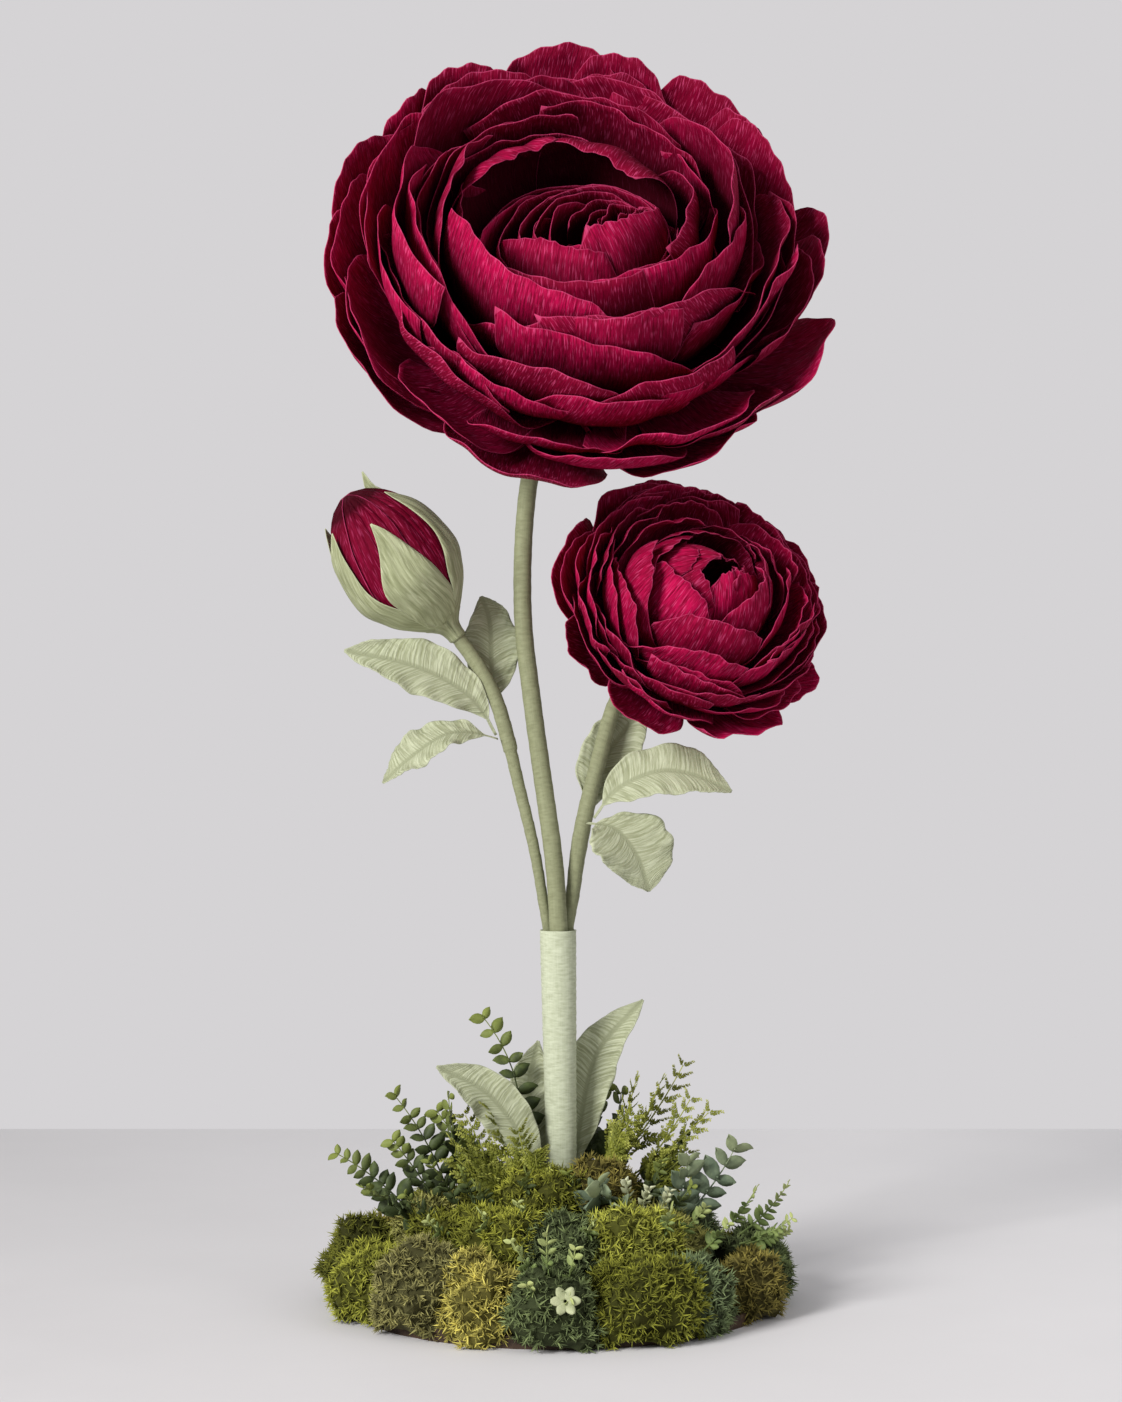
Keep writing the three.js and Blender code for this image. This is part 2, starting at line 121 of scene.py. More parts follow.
class Finish(NodeTree):
    """A material with one Principled shader and helpers for its patterns."""

    def __init__(self, name, **constants):
        self.material = bpy.data.materials.new(name)
        self.material.use_nodes = True
        super().__init__(self.material.node_tree)
        self.shader = self.tree.nodes["Principled BSDF"]
        for socket, value in constants.items():
            self.shader.inputs[socket.replace("_", " ")].default_value = value

    def feed(self, socket, value):
        self.tree.links.new(value.socket, self.shader.inputs[socket])

    def attribute(self, name, out=2):
        return self.node("ShaderNodeAttribute", {"attribute_name": name}, out=out)

    def uv(self, name):
        return self.node("ShaderNodeUVMap", {"uv_map": name})

    def object_place(self):
        return self.node("ShaderNodeTexCoord", out=3)

    def split(self, vector):
        return self.node("ShaderNodeSeparateXYZ", sockets={0: vector})

    def join(self, x, y, z=0.0):
        return self.node("ShaderNodeCombineXYZ", sockets={0: x, 1: y, 2: z})

    def stretched(self, vector, scale):
        return self.node("ShaderNodeMapping", sockets={"Vector": vector, "Scale": scale})

    def noise(self, vector, scale=1.0, detail=3.0, roughness=0.55):
        sockets = {"Vector": vector, "Scale": scale, "Detail": detail, "Roughness": roughness}
        return self.node("ShaderNodeTexNoise", sockets=sockets)

    def between(self, value, low, high, start=0.0, end=1.0):
        return self.node("ShaderNodeMapRange", sockets={0: value, 1: low, 2: high, 3: start, 4: end})

    def mix(self, share, first, second, way="MIX"):
        settings = {"data_type": "RGBA", "blend_type": way}
        return self.node("ShaderNodeMix", settings, {0: share, 6: first, 7: second}, out=2)

    def bump(self, height, strength, distance):
        sockets = {"Height": height, "Strength": strength, "Distance": distance}
        self.feed("Normal", self.node("ShaderNodeBump", sockets=sockets))


def colour(red, green, blue):
    """An sRGB colour from 0 to 255 as the linear colour that sockets take."""
    share = np.array([red, green, blue]) / 255
    linear = np.where(share <= 0.04045, share / 12.92, ((share + 0.055) / 1.055) ** 2.4)
    return (*[float(c) for c in linear], 1.0)


print("node helpers ready")

# %% [markdown]
# ## Crepe paper
# Crepe paper is stretched tissue: fine ridges run along the grain, and the colour is deeper in
# the grooves, a painted shade where shade falls between the ridges. A noise that is stretched
# along the sheet's own UV map gives both, so the grain follows each petal. The cut edge catches
# the light, so a painted highlight runs along it, and the sheets carry an attribute that says
# how far a point is from the edge. Light dashes along the grain are partly the paper's own
# streaks and partly a painted sheen. A painted shadow darkens each petal towards its foot.

# %% Crimson crepe
SHADOW = 0.15  # what is left of the deep colour where no light gets in between the sheets


def crepe(name, deep, plain, streak_sheen, edge, grain, foot, **constants):
    """Crepe in three depths of a colour, with grain lines to the metre and a shadow at the foot."""
    finish = Finish(name, **constants)
    sheet = finish.split(finish.uv("sheet"))
    tone = finish.attribute("tone")
    across = sheet * grain + tone * 60.0
    along = sheet.output(1) * grain + tone * 90.0
    ridges = finish.noise(finish.join(across, along * 0.08), detail=4.0)
    dashes = finish.noise(finish.join(across * 1.5, along * 0.13), detail=1.0)
    folds = finish.noise(finish.join(across * 0.12, along * 0.03), detail=2.0)
    # Deeper colour in the grooves of the ridges: a painted shade.
    body = finish.mix(finish.between(ridges, 0.34, 0.6), deep, plain)
    # A low tone mixes in the deep colour: at random from petal to petal, and as painted shade on the petals
    # at a bloom's back and right.
    body = finish.mix(finish.between(tone * 0.6 + folds * 0.4, 0.2, 0.7, 0.85, 0.0), body, deep)
    # Light dashes along the grain: the paper's own streaks with a painted sheen.
    body = finish.mix(finish.between(dashes, 0.56, 0.7, 0.0, 0.5), body, streak_sheen)
    shadow = (*[c * SHADOW for c in deep[:3]], 1)
    # Painted shadow towards each petal's foot, where little light gets in between the sheets; reach says
    # how far out of it a point is.
    body = finish.mix(finish.between(finish.attribute("reach"), 0.2, 0.8, foot, 0.0), body, shadow)
    # Painted highlight along the cut edge, where it catches the light, broken up by the folds.
    rim = finish.between(finish.attribute("rim"), 0.2 * MM, 1.1 * MM, 0.6, 0.0)
    rim = rim * finish.between(folds, 0.3, 0.6, 0.35, 1.0)
    finish.feed("Base Color", finish.mix(rim, body, edge))
    finish.feed("Roughness", finish.between(ridges, 0.3, 0.7, 0.8, 0.62))
    finish.bump(ridges * 0.8 + folds, 0.8, 2.2 * MM)
    return finish.material


# Deep and plain crimson, a bright crimson for streaks with a painted sheen, and the painted highlight of
# the cut edge
CRIMSON_DEEP = (0.15, 0.0003, 0.015, 1)
CRIMSON_PLAIN = (0.44, 0.003, 0.06, 1)
CRIMSON_STREAK_SHEEN = (0.74, 0.085, 0.24, 1)
CRIMSON_EDGE_HIGHLIGHT = (0.6, 0.065, 0.18, 1)
CRIMSON = crepe("crimson_crepe", CRIMSON_DEEP, CRIMSON_PLAIN, CRIMSON_STREAK_SHEEN, CRIMSON_EDGE_HIGHLIGHT, 480.0, 0.9,
                Specular_IOR_Level=0.06)
print("made", CRIMSON.name)

# %% [markdown]
# ## Paper sheets
# Every petal, leaf and sepal is one thin sheet. A grid of points gives its middle surface. The
# sheet is closed: the front and back lie half a paper's thickness to each side, and a strip
# runs round the edge. This is done with arrays, because a formula per petal gives more control
# over folds than a modifier does.

# %% Grids to closed sheets
PAPER = 0.7 * MM


def grid_faces(rows, columns, start=0):
    corner = np.arange(rows - 1)[:, None] * columns + np.arange(columns - 1)[None] + start
    return np.stack([corner, corner + 1, corner + columns + 1, corner + columns], -1).reshape(-1, 4)


def ring_faces(rows, columns, start=0):
    """Faces of a stack of closed rings, with a cap at each end."""
    ids = np.arange(rows * columns).reshape(rows, columns) + start
    after = np.roll(ids, -1, axis=1)
    sides = np.stack([ids[:-1], after[:-1], after[1:], ids[1:]], -1).reshape(-1, 4)
    return [*sides.tolist(), ids[0, ::-1].tolist(), ids[-1].tolist()]


def run_along(grid, axis):
    """The distance of each point of a grid from the first one of its row or column."""
    steps = np.cumsum(np.linalg.norm(np.diff(grid, axis=axis), axis=-1), axis)
    return np.concatenate([np.zeros_like(steps.take([0], axis)), steps], axis)


def sheet_arrays(grid, tone, reach=1.0):
    """Vertices, faces, UV and attributes of one closed sheet from a grid of middle points."""
    rows, columns, _ = grid.shape
    # reach is how far each point is out of the painted shadow at a sheet's foot, from 0 to 1.
    reach = np.broadcast_to(reach, (rows, columns))
    across = np.gradient(grid, axis=1)
    along = np.gradient(grid, axis=0)
    normal = np.cross(across, along)
    normal /= np.maximum(np.linalg.norm(normal, axis=-1, keepdims=True), 1e-12)
    front = grid + normal * PAPER / 2
    back = grid - normal * PAPER / 2
    count = rows * columns
    faces = grid_faces(rows, columns)
    ids = np.arange(count).reshape(rows, columns)
    edge = np.concatenate([ids[0, :-1], ids[:-1, -1], ids[-1, :0:-1], ids[:0:-1, 0]])
    after = np.roll(edge, -1)
    strip = np.stack([after, edge, edge + count, after + count], -1)
    width = run_along(grid, 1)
    length = run_along(grid, 0)
    rim = np.minimum(np.minimum(width, width[:, -1:] - width), length[-1:] - length)
    uv = np.stack([width - width[:, columns // 2][:, None], length], -1)
    return {
        "points": np.concatenate([front.reshape(-1, 3), back.reshape(-1, 3)]),
        "faces": np.concatenate([faces, faces[:, ::-1] + count, strip]),
        "uv": np.tile(uv.reshape(-1, 2), (2, 1)),
        "rim": np.tile(rim.reshape(-1), 2),
        "tone": np.full(2 * count, tone),
        "reach": np.tile(reach.reshape(-1), 2),
    }


def smooth_mesh(name, points, faces):
    mesh = bpy.data.meshes.new(name)
    mesh.from_pydata(points, [], faces)
    mesh.polygons.foreach_set("use_smooth", np.ones(len(faces), bool))
    return mesh


def store_values(mesh, key, values):
    """Keeps one number for each point of a mesh, which finishes and trees can read."""
    kept = mesh.attributes.new(key, "FLOAT", "POINT")
    kept.data.foreach_set("value", np.asarray(values, np.float32).ravel())


def sheets_mesh(name, sheets):
    """One mesh from several closed sheets, with the UV map and attributes that crepe reads."""
    start = np.cumsum([0] + [len(sheet["points"]) for sheet in sheets])
    faces = np.concatenate([sheet["faces"] + first for sheet, first in zip(sheets, start)])
    mesh = smooth_mesh(name, np.concatenate([sheet["points"] for sheet in sheets]), faces.tolist())
    uv = np.concatenate([sheet["uv"] for sheet in sheets])
    layer = mesh.uv_layers.new(name="sheet")
    layer.data.foreach_set("uv", uv[faces.reshape(-1)].astype(np.float32).ravel())
    for key in ("rim", "tone", "reach"):
        store_values(mesh, key, np.concatenate([sheet[key] for sheet in sheets]))
    return mesh


def placed(name, data):
    """An object of the scene, at the origin."""
    made = bpy.data.objects.new(name, data)
    bpy.context.scene.collection.objects.link(made)
    return made


def piece(mesh, material, slot, *nodes):
    """Puts a finished mesh into the scene as a piece that rides on the stand."""
    made = placed(mesh.name, mesh)
    if material:
        mesh.materials.clear()
        mesh.materials.append(material)
    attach(made, "root")
    if nodes:
        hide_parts(*nodes)
    return made


def triangles(objects):
    return sum(len(face.vertices) - 2 for made in objects for face in made.data.polygons)


print("sheet helpers ready")

# %% [markdown]
# ## Petals
# A bloom is a set of whorls. Each petal follows the whorl's profile, a curve from the hub out
# over the belly and up to the tip, and laps over its neighbour. The open bloom leans back, so
# its rear petals stand higher. What makes it look like paper is what is added on top: rounded
# edges with small waves, ruffles that grow towards the edge, lips that curl and lengths that
# differ from petal to petal. The petals at the back and at the right get a painted shade, a
# deeper colour for the shade they stand in, and every petal gets a painted shadow towards its
# foot that climbs higher in the inner whorls.

# %% Petal shape
# A whorl has a number of petals, the turn of the first one, and four points of its profile as radius
# and height. Then come how far petals lap, how round their ends are, how much higher the back
# stands, and the sizes of cup, ruffle, waves, twist, curled lip and stray folds. A span below a
# full turn is for petals that fill only a part of the ring.
PETAL_TERMS = "petals turn base belly shoulder tip lap round lean cup ruffle waves twist lip stray span"
Whorl = namedtuple("Whorl", PETAL_TERMS, defaults=[2 * math.pi])
NOTCH = 0.3  # share of a petal's length below the notch to its neighbour
FOOT_LAP = 0.94  # share of its place on the ring that a petal fills below the notch
SIDEWAYS = 0.18  # how far a petal's free part strays sideways, as a share of its place
UNEVEN = 0.12  # how much petals differ in length and in lap
SLANT = 0.6  # how much one side of a petal may be longer than the other
LONGEST = 1.03  # the longest petal, as a share of the profile, and how softly it is held there
SOFT = 0.06
BACK_DRAWN_IN = 0.2
SHOULDER_LIFT = 0.55  # how much of the tip's rise at the back the shoulder shares
PAINTED_SHADE_SIDE = 1.1  # the angle at which a bloom's petals get the most painted shade, and how strong it is
PAINTED_SHADE_STRENGTH = 0.95


def smooth_step(low, high, value):
    share = np.clip((value - low) / (high - low), 0, 1)
    return share * share * (3 - 2 * share)


def petal_edge(whorl, s, draw):
    """Length of a petal at each place across it, as a share of the whorl's profile."""
    slant = SLANT * draw[12] * np.clip(2.2 - 4.5 * whorl.round, 0.25, 1)
    edge = 1 - 1.3 * whorl.round * np.abs(s) ** 2.4 + UNEVEN * draw[1] + slant * s
    edge = edge + 0.035 * np.sin(4.1 * s + 7 * draw[2]) + 0.013 * np.sin(10 * s + 9 * draw[3])
    edge = LONGEST - SOFT * np.log1p(np.exp((LONGEST - edge) / SOFT))
    return edge + 0.007 * np.sin(23 * s + 5 * draw[4])


def petal_profile(whorl, angle, t):
    """Radius and height along the whorl's curve, and the direction that points out of it."""
    lift = whorl.lean * np.sin(angle)
    zero = np.zeros_like(lift)
    ways = [np.stack([zero + r, zero + h], -1)
            for r, h in (whorl.base, whorl.belly, whorl.shoulder, whorl.tip)]
    ways[2] = ways[2] + np.stack([zero, SHOULDER_LIFT * lift], -1)
    ways[3] = ways[3] + np.stack([-BACK_DRAWN_IN * np.abs(whorl.lean) * np.sin(angle), lift], -1)
    q = t[..., None]
    place = (1 - q) ** 3 * ways[0] + 3 * (1 - q) ** 2 * q * ways[1]
    place = place + 3 * (1 - q) * q * q * ways[2] + q ** 3 * ways[3]
    slope = (1 - q) ** 2 * (ways[1] - ways[0]) + 2 * (1 - q) * q * (ways[2] - ways[1])
    slope = slope + q * q * (ways[3] - ways[2])
    slope /= np.linalg.norm(slope, axis=-1, keepdims=True)
    return place, np.stack([slope[..., 1], -slope[..., 0]], -1)


def petal_relief(whorl, s, v, free, draw):
    """How far a petal stands off its curve, with its twist, ruffles, lip, folds and crease."""
    wave = 0.6 * np.sin(math.pi * whorl.waves * 0.9 * s + 6 * draw[5])
    wave = wave + 0.4 * np.sin(math.pi * whorl.waves * 1.9 * s + 6 * draw[6])
    off = whorl.twist * s * np.minimum(1, 2 * free) + whorl.cup * s * s * free
    off = off + whorl.ruffle * free ** 1.5 * wave * (0.35 + 0.65 * np.abs(s))
    off = off + whorl.lip * (1 + 0.8 * draw[7]) * smooth_step(0.75, 1.0, free) ** 1.5
    sway = 2 * np.sin(2.2 * s + 4 * draw[8]) * np.sin(3 * v + 4 * draw[9])
    off = off + (sway + 5 * whorl.stray * draw[10]) * free
    crimp = 1.3 * free ** 3 * np.sin(9 * s + 5 * draw[11])
    off = off + crimp + 0.5 * free ** 4 * np.sin(21 * s + 5 * draw[13])
    turned_side = smooth_step(0.1, 1.0, s * np.sign(draw[21])) * smooth_step(0.5, 1.0, free)
    off = off + 9 * whorl.stray * max(0.0, abs(draw[21]) - 0.4) * turned_side
    crease = np.abs(s - 0.5 * draw[15]) - 0.4 + 0.7 * np.abs(s + 0.6 * draw[18]) * draw[19]
    return off + 4.5 * whorl.stray * draw[14] * crease * free


def petal_grid(whorl, k, seed, columns, rows):
    """Middle surface of one petal around +Z at the origin, in millimetres."""
    draw = np.random.default_rng([seed, k]).uniform(-1, 1, 24)
    pitch = whorl.span / whorl.petals
    s, v = np.meshgrid(np.linspace(-1, 1, columns), np.linspace(0, 1, rows) ** 0.8)
    free = np.clip((v - NOTCH) / (1 - NOTCH), 0, 1)
    lap = whorl.lap * (1 + UNEVEN * draw[16])
    half = 0.5 * pitch * (FOOT_LAP + (lap - FOOT_LAP) * np.minimum(1, 1.6 * free))
    strays = SIDEWAYS * pitch * (draw[0] * free + draw[20] * free ** 2)
    angle = whorl.turn + k * pitch + s * half + strays
    t = np.where(v < NOTCH, v, NOTCH + (v - NOTCH) * petal_edge(whorl, s, draw))
    place, outward = petal_profile(whorl, angle, t)
    place = place + outward * petal_relief(whorl, s, v, free, draw)[..., None]
    radius = place[..., 0]
    return np.stack([radius * np.cos(angle), radius * np.sin(angle), place[..., 1]], -1)


def standing(hub, axis):
    """Matrix that turns a shape around +Z to stand at a hub (in millimetres) along an axis."""
    up = Vector(axis).normalized()
    right = Vector((0, 0, 1)).cross(up).normalized()
    turned = Matrix((right, up.cross(right), up)).transposed().to_4x4()
    turned.translation = Vector(hub) * MM
    return np.array(turned)


def put(matrix, grid):
    """Moves a grid in millimetres by a matrix, into metres."""
    return (grid * MM) @ matrix[:3, :3].T + matrix[:3, 3]


def whorl_sheets(whorl, matrix, seed, columns, rows, painted_shade_power):
    """The closed sheets of a whorl's petals. A higher power keeps more of each in painted shadow."""
    turns = whorl.turn + np.arange(whorl.petals) * whorl.span / whorl.petals
    tones = np.random.default_rng(seed).uniform(0, 1, whorl.petals)
    # Painted shade: the petals at the back and the right get a lower tone, so crepe mixes more of its deep
    # colour into them.
    tones = tones * (1 - PAINTED_SHADE_STRENGTH * np.maximum(0, np.cos(turns - PAINTED_SHADE_SIDE)))
    grids = [put(matrix, petal_grid(whorl, k, seed, columns, rows)) for k in range(whorl.petals)]
    reach = np.linspace(0, 1, rows)[:, None] ** painted_shade_power
    return [sheet_arrays(grid, tone, reach) for grid, tone in zip(grids, tones)]


OUTER_WHORLS = 8  # the whorls outside the heart, which have the finer grid


def bloom(name, layers, seed, grid, heart_grid, painted_shade_step):
    """One piece for each solid whorl, from the whorls of paper that take its place."""
    pieces = []
    for number, whorls in enumerate(layers, 1):
        sheets = []
        columns, rows = grid if number <= OUTER_WHORLS else heart_grid
        for step, (matrix, whorl) in enumerate(whorls):
            # Inner whorls keep more of each petal in painted shadow, which darkens the hollow of the bloom.
            painted_shade_power = max(0.8, 0.5 + painted_shade_step * number)
            sheets += whorl_sheets(whorl, matrix, seed + 17 * number + 211 * step, columns, rows, painted_shade_power)
        mesh = sheets_mesh(f"{name}_whorl_{number}", sheets)
        pieces.append(piece(mesh, CRIMSON, "crimson_crepe", f"{name}_petals_{number}"))
    count = sum(whorl.petals for whorls in layers for _, whorl in whorls)
    print(name, "bloom:", count, "petals,", triangles(pieces), "triangles")


def between_whorls(outer, inner):
    """A whorl that stands halfway between two, with its petals over their gaps."""
    ways = {key: tuple(0.5 * (a + b) for a, b in zip(getattr(outer, key), getattr(inner, key)))
            for key in ("base", "belly", "shoulder", "tip")}
    calm = {key: 0.7 * getattr(outer, key) for key in ("ruffle", "stray")}
    return outer._replace(turn=outer.turn + 0.4, lean=0.5 * (outer.lean + inner.lean), **calm, **ways)


# %% Open bloom
MAIN_HUB = (11, 40, 990)
MAIN_AXIS = (0.085, -0.807, 0.585)
MAIN_WHORLS = [
    Whorl(9, 0.21, (40, 0), (118, -38), (227, -10), (254, 96), 1.1, 0.38, 42, -14, 9, 1.6, 7, 0, 1.5),
    Whorl(8, 0.52, (37, 4), (128, -26), (212, 16), (231, 110), 1.2, 0.34, 33, -10, 9, 1.8, 6, 0, 1.6),
    Whorl(7, 0.2, (34, 8), (140, -16), (202, 40), (207, 124), 1.3, 0.3, 22, -6, 8, 2.0, 8, 0, 1.7),
    Whorl(7, 0.0, (31, 12), (150, -7), (199, 64), (196, 141), 1.45, 0.26, 9, 0, 7, 2.4, 9, 5, 1.7),
    Whorl(6, 0.75, (28, 16), (149, 1), (192, 80), (176, 150), 1.6, 0.24, 2, 0, 7, 2.4, 9, 6, 1.6),
    Whorl(6, 0.3, (25, 20), (142, 6), (181, 92), (154, 160), 1.5, 0.22, -6, 0, 6, 2.4, 9, 4, 1.5),
    Whorl(6, 0.0, (22, 24), (128, 10), (165, 98), (135, 162), 1.5, 0.2, -12, 0, 6, 2.4, 8, 2, 1.3),
    Whorl(5, 0.5, (19, 28), (111, 10), (145, 92), (116, 157), 1.55, 0.2, -14, 0, 6, 2.4, 8, 0, 1.2),
]

# Each whorl is tipped aside and back by two angles, about a point this high above the hub, so
# that the petals in front cross at a slant.
TIP_PIVOT = 120
MAIN_TIPS = [(0, 0), (-0.04, 0), (0.06, 0), (-0.07, 0.02), (0.09, 0), (-0.1, 0.03), (0.1, 0), (-0.08, 0)]

# Inside the last whorl the cups are nested off centre, so their rims crowd at the right and leave
# a dark hollow at the back. Two petals fold over the hollow, and two broad ones close the front.
HEART_RIMS = [97, 88, 80, 72, 64, 55, 46, 37, 28, 19, 11]
HEART_DRIFT = 0.75
HEART_FORWARD = 18
CLOSING = [
    Whorl(1, -0.9, (16, 32), (84, 16), (122, 104), (44, 164), 1.0, 0.15, 0, 0, 4, 1.5, 8, 0, 0.8, 2.4),
    Whorl(1, -1.9, (16, 32), (84, 16), (116, 92), (62, 152), 1.0, 0.2, 0, 0, 4, 1.5, 8, 0, 0.8, 1.9),
]
FOLDED = [
    Whorl(1, 1.15, (19, 28), (111, 10), (158, 154), (70, 164), 1.0, 0.16, 0, 0, 5, 2.0, 6, 0, 0.9, 1.9),
    Whorl(1, 2.5, (19, 28), (111, 10), (152, 146), (88, 158), 1.0, 0.22, 0, 0, 5, 2.0, 6, 0, 0.9, 1.3),
]


def nested_cup(step, rim):
    aside = HEART_DRIFT * (HEART_RIMS[0] - rim)
    shift = Vector((aside, 0.5 * aside - HEART_FORWARD, 0)) * MM
    matrix = standing(MAIN_HUB, MAIN_AXIS) @ np.array(Matrix.Translation(shift))
    foot = 3 + 0.12 * rim
    low = 38 - 0.06 * rim
    tall = 132 - 0.14 * rim
    cup = Whorl(3, 0.9 * step, (foot, low), (0.95 * rim, low - 8), (1.1 * rim, 0.7 * tall), (rim, tall),
                1.4, 0.22, -4, 0, 3.6, 2.0, 0.1 * rim, 0, 0.7 + 0.006 * rim)
    return matrix, cup


def tipped(matrix, aside, back):
    """The matrix of a whorl that is tipped aside and back about its middle height."""
    pivot = Matrix.Translation(Vector((0, 0, TIP_PIVOT)) * MM)
    turn = Matrix.Rotation(aside, 4, "Y") @ Matrix.Rotation(back, 4, "X")
    return matrix @ np.array(pivot @ turn @ pivot.inverted())


main_stand = standing(MAIN_HUB, MAIN_AXIS)
cups = [nested_cup(step, rim) for step, rim in enumerate(HEART_RIMS)]
main_layers = [[(tipped(main_stand, *tip), whorl)] for tip, whorl in zip(MAIN_TIPS, MAIN_WHORLS)]
for k in (0, 2):
    main_layers[k].append((main_stand, between_whorls(*MAIN_WHORLS[k:k + 2])))
main_layers[-1] += [(main_stand, whorl) for whorl in FOLDED]
main_layers += [cups[:4] + [(main_stand, whorl) for whorl in CLOSING], cups[4:]]
bloom("main", main_layers, 3, (36, 19), (22, 14), 0.42)

# %% Half-open bloom
SECOND_HUB = (120, 20, 670)
SECOND_AXIS = (0.308, -0.803, 0.511)
SECOND_WHORLS = [
    Whorl(8, 0.3, (22, 0), (66, -20), (118, -4), (146, 42), 1.12, 0.32, 12, -8, 5, 1.8, 4, 0, 0.9),
    Whorl(7, 0.0, (20, 3), (73, -13), (118, 10), (138, 57), 1.2, 0.3, 8, -6, 5, 2.0, 4, 0, 0.9),
    Whorl(7, 0.4, (18, 6), (80, -7), (116, 26), (126, 71), 1.3, 0.28, 2, -4, 4, 3.0, 4, 0, 0.9),
    Whorl(7, 0.15, (16, 9), (86, -3), (115, 41), (113, 84), 1.35, 0.26, 2, 0, 4, 3.0, 3.5, 2, 0.9),
    Whorl(7, 0.6, (14, 12), (84, 2), (107, 56), (90, 101), 1.4, 0.24, -5, 0, 3.5, 3.0, 3.5, 2, 0.9),
    Whorl(6, 0.3, (12, 15), (76, 6), (98, 66), (67, 113), 1.45, 0.22, -9, 0, 3, 3.0, 3, 0, 0.9),
    Whorl(5, 0.0, (10, 18), (64, 9), (87, 73), (43, 121), 1.5, 0.22, -9, 0, 3, 3.0, 3, 0, 0.8),
    Whorl(4, 0.2, (7, 21), (47, 11), (66, 75), (18, 122), 1.5, 0.2, -8, 0, 2.5, 3.0, 3, 0, 0.6),
]
SECOND_CLOSING = [
    Whorl(1, 3.5, (9, 20), (60, 12), (88, 84), (10, 132), 1.0, 0.2, 0, 0, 3, 1.5, 3, 0, 0.6, 2.6),
    Whorl(1, 4.6, (9, 20), (60, 12), (86, 80), (16, 130), 1.0, 0.22, 0, 0, 3, 1.5, 3, 0, 0.6, 2.2),
    Whorl(1, 2.5, (9, 20), (60, 12), (84, 80), (24, 124), 1.0, 0.22, 0, 0, 3, 1.5, 3, 0, 0.6, 2.0),
]
second_stand = standing(SECOND_HUB, SECOND_AXIS)
second_layers = [[(second_stand, whorl)] for whorl in SECOND_WHORLS]
for k in (1, 2, 3):
    second_layers[k].append((second_stand, between_whorls(*SECOND_WHORLS[k:k + 2])))
second_layers[-1] += [(second_stand, whorl) for whorl in SECOND_CLOSING]
bloom("second", second_layers, 8, (26, 16), (26, 16), 0.1)

# %% [markdown]
# ## Sage crepe
# The leaves, sepals and wraps are pale sage paper. The leaves have a grey midrib stripe, and
# crinkles that run off it at a slant. The slant comes from adding the distance from the midrib
# to the distance along it before the noise is read.

# %% Sage paper finishes
SAGE_LIGHT = colour(188, 192, 162)
SAGE_PLAIN = colour(167, 171, 140)
SAGE_DEEP = colour(136, 140, 106)
MIDRIB = colour(146, 150, 119)


def leaf_paper():
    finish = Finish("sage_leaf", Specular_IOR_Level=0.25)
    sheet = finish.split(finish.uv("sheet"))
    across = abs(sheet.output(0))
    slant = sheet.output(1) - across * 0.8
    crinkle = finish.noise(finish.join(slant * 420.0, across * 34.0), detail=4.0)
    fine = finish.noise(finish.join(slant * 700.0, across * 60.0), detail=2.0)
    body = finish.mix(finish.between(crinkle, 0.3, 0.55), SAGE_DEEP, SAGE_PLAIN)
    body = finish.mix(finish.between(crinkle + fine * 0.4, 0.66, 0.9), body, SAGE_LIGHT)
    stripe = finish.between(across, 1.6 * MM, 3.4 * MM, 0.85, 0.0)
    body = finish.mix(stripe, body, MIDRIB)
    # Painted highlight along the cut edge, where it catches the light.
    rim = finish.between(finish.attribute("rim"), 0.5 * MM, 2 * MM, 0.5, 0.0)
    finish.feed("Base Color", finish.mix(rim, body, SAGE_LIGHT))
    finish.feed("Roughness", finish.between(crinkle, 0.3, 0.7, 0.8, 0.62))
    finish.bump(crinkle + fine * 0.4, 0.6, 2.2 * MM)
    return finish.material


LEAF = leaf_paper()
SEPAL = crepe("sage_crepe", colour(128, 132, 96), colour(170, 174, 138), colour(190, 194, 158),
              colour(198, 202, 168), 340.0, 0.0, Specular_IOR_Level=0.25)
print("made", LEAF.name, "and", SEPAL.name)

# %% [markdown]
# ## Smooth paths
# Stems and midribs are drawn through a few points. A centripetal Catmull-Rom curve passes
# through all of them without loops, and it is cut into steps of even length.

# %% Paths through points
def smooth_path(points, count):
    """A curve through points, in equal steps."""
    given = np.array(points, float)
    ends = np.vstack([2 * given[0] - given[1], given, 2 * given[-1] - given[-2]])
    share = np.linspace(0, 1, 24, endpoint=False)[:, None]
    fine = []
    for a, b, c, d in zip(ends, ends[1:], ends[2:], ends[3:]):
        before, here, after = [math.sqrt(np.linalg.norm(q - p)) for p, q in ((a, b), (b, c), (c, d))]
        leave = ((b - a) / before - (c - a) / (before + here) + (c - b) / here) * here
        arrive = ((c - b) / here - (d - b) / (here + after) + (d - c) / after) * here
        square = -3 * b + 3 * c - 2 * leave - arrive
        cube = 2 * b - 2 * c + leave + arrive
        fine.append(b + leave * share + square * share ** 2 + cube * share ** 3)
    fine = np.vstack([*fine, given[-1:]])
    length = np.concatenate([[0], np.cumsum(np.linalg.norm(np.diff(fine, axis=0), axis=1))])
    steps = np.linspace(0, length[-1], count)
    return np.stack([np.interp(steps, length, fine[:, k]) for k in range(fine.shape[1])], -1)


def unit(vectors):
    return vectors / np.maximum(np.linalg.norm(vectors, axis=-1, keepdims=True), 1e-9)


print("a path through 3 points in 5 steps:", smooth_path([(0, 0), (1, 1), (2, 0)], 5).round(2).tolist())

# %% [markdown]
# ## Leaves
# Each leaf is a blade on a short stalk, folded a little along its midrib, with a wavy edge and
# a point. The midrib points, the way the blade faces and its width are those of the solids.

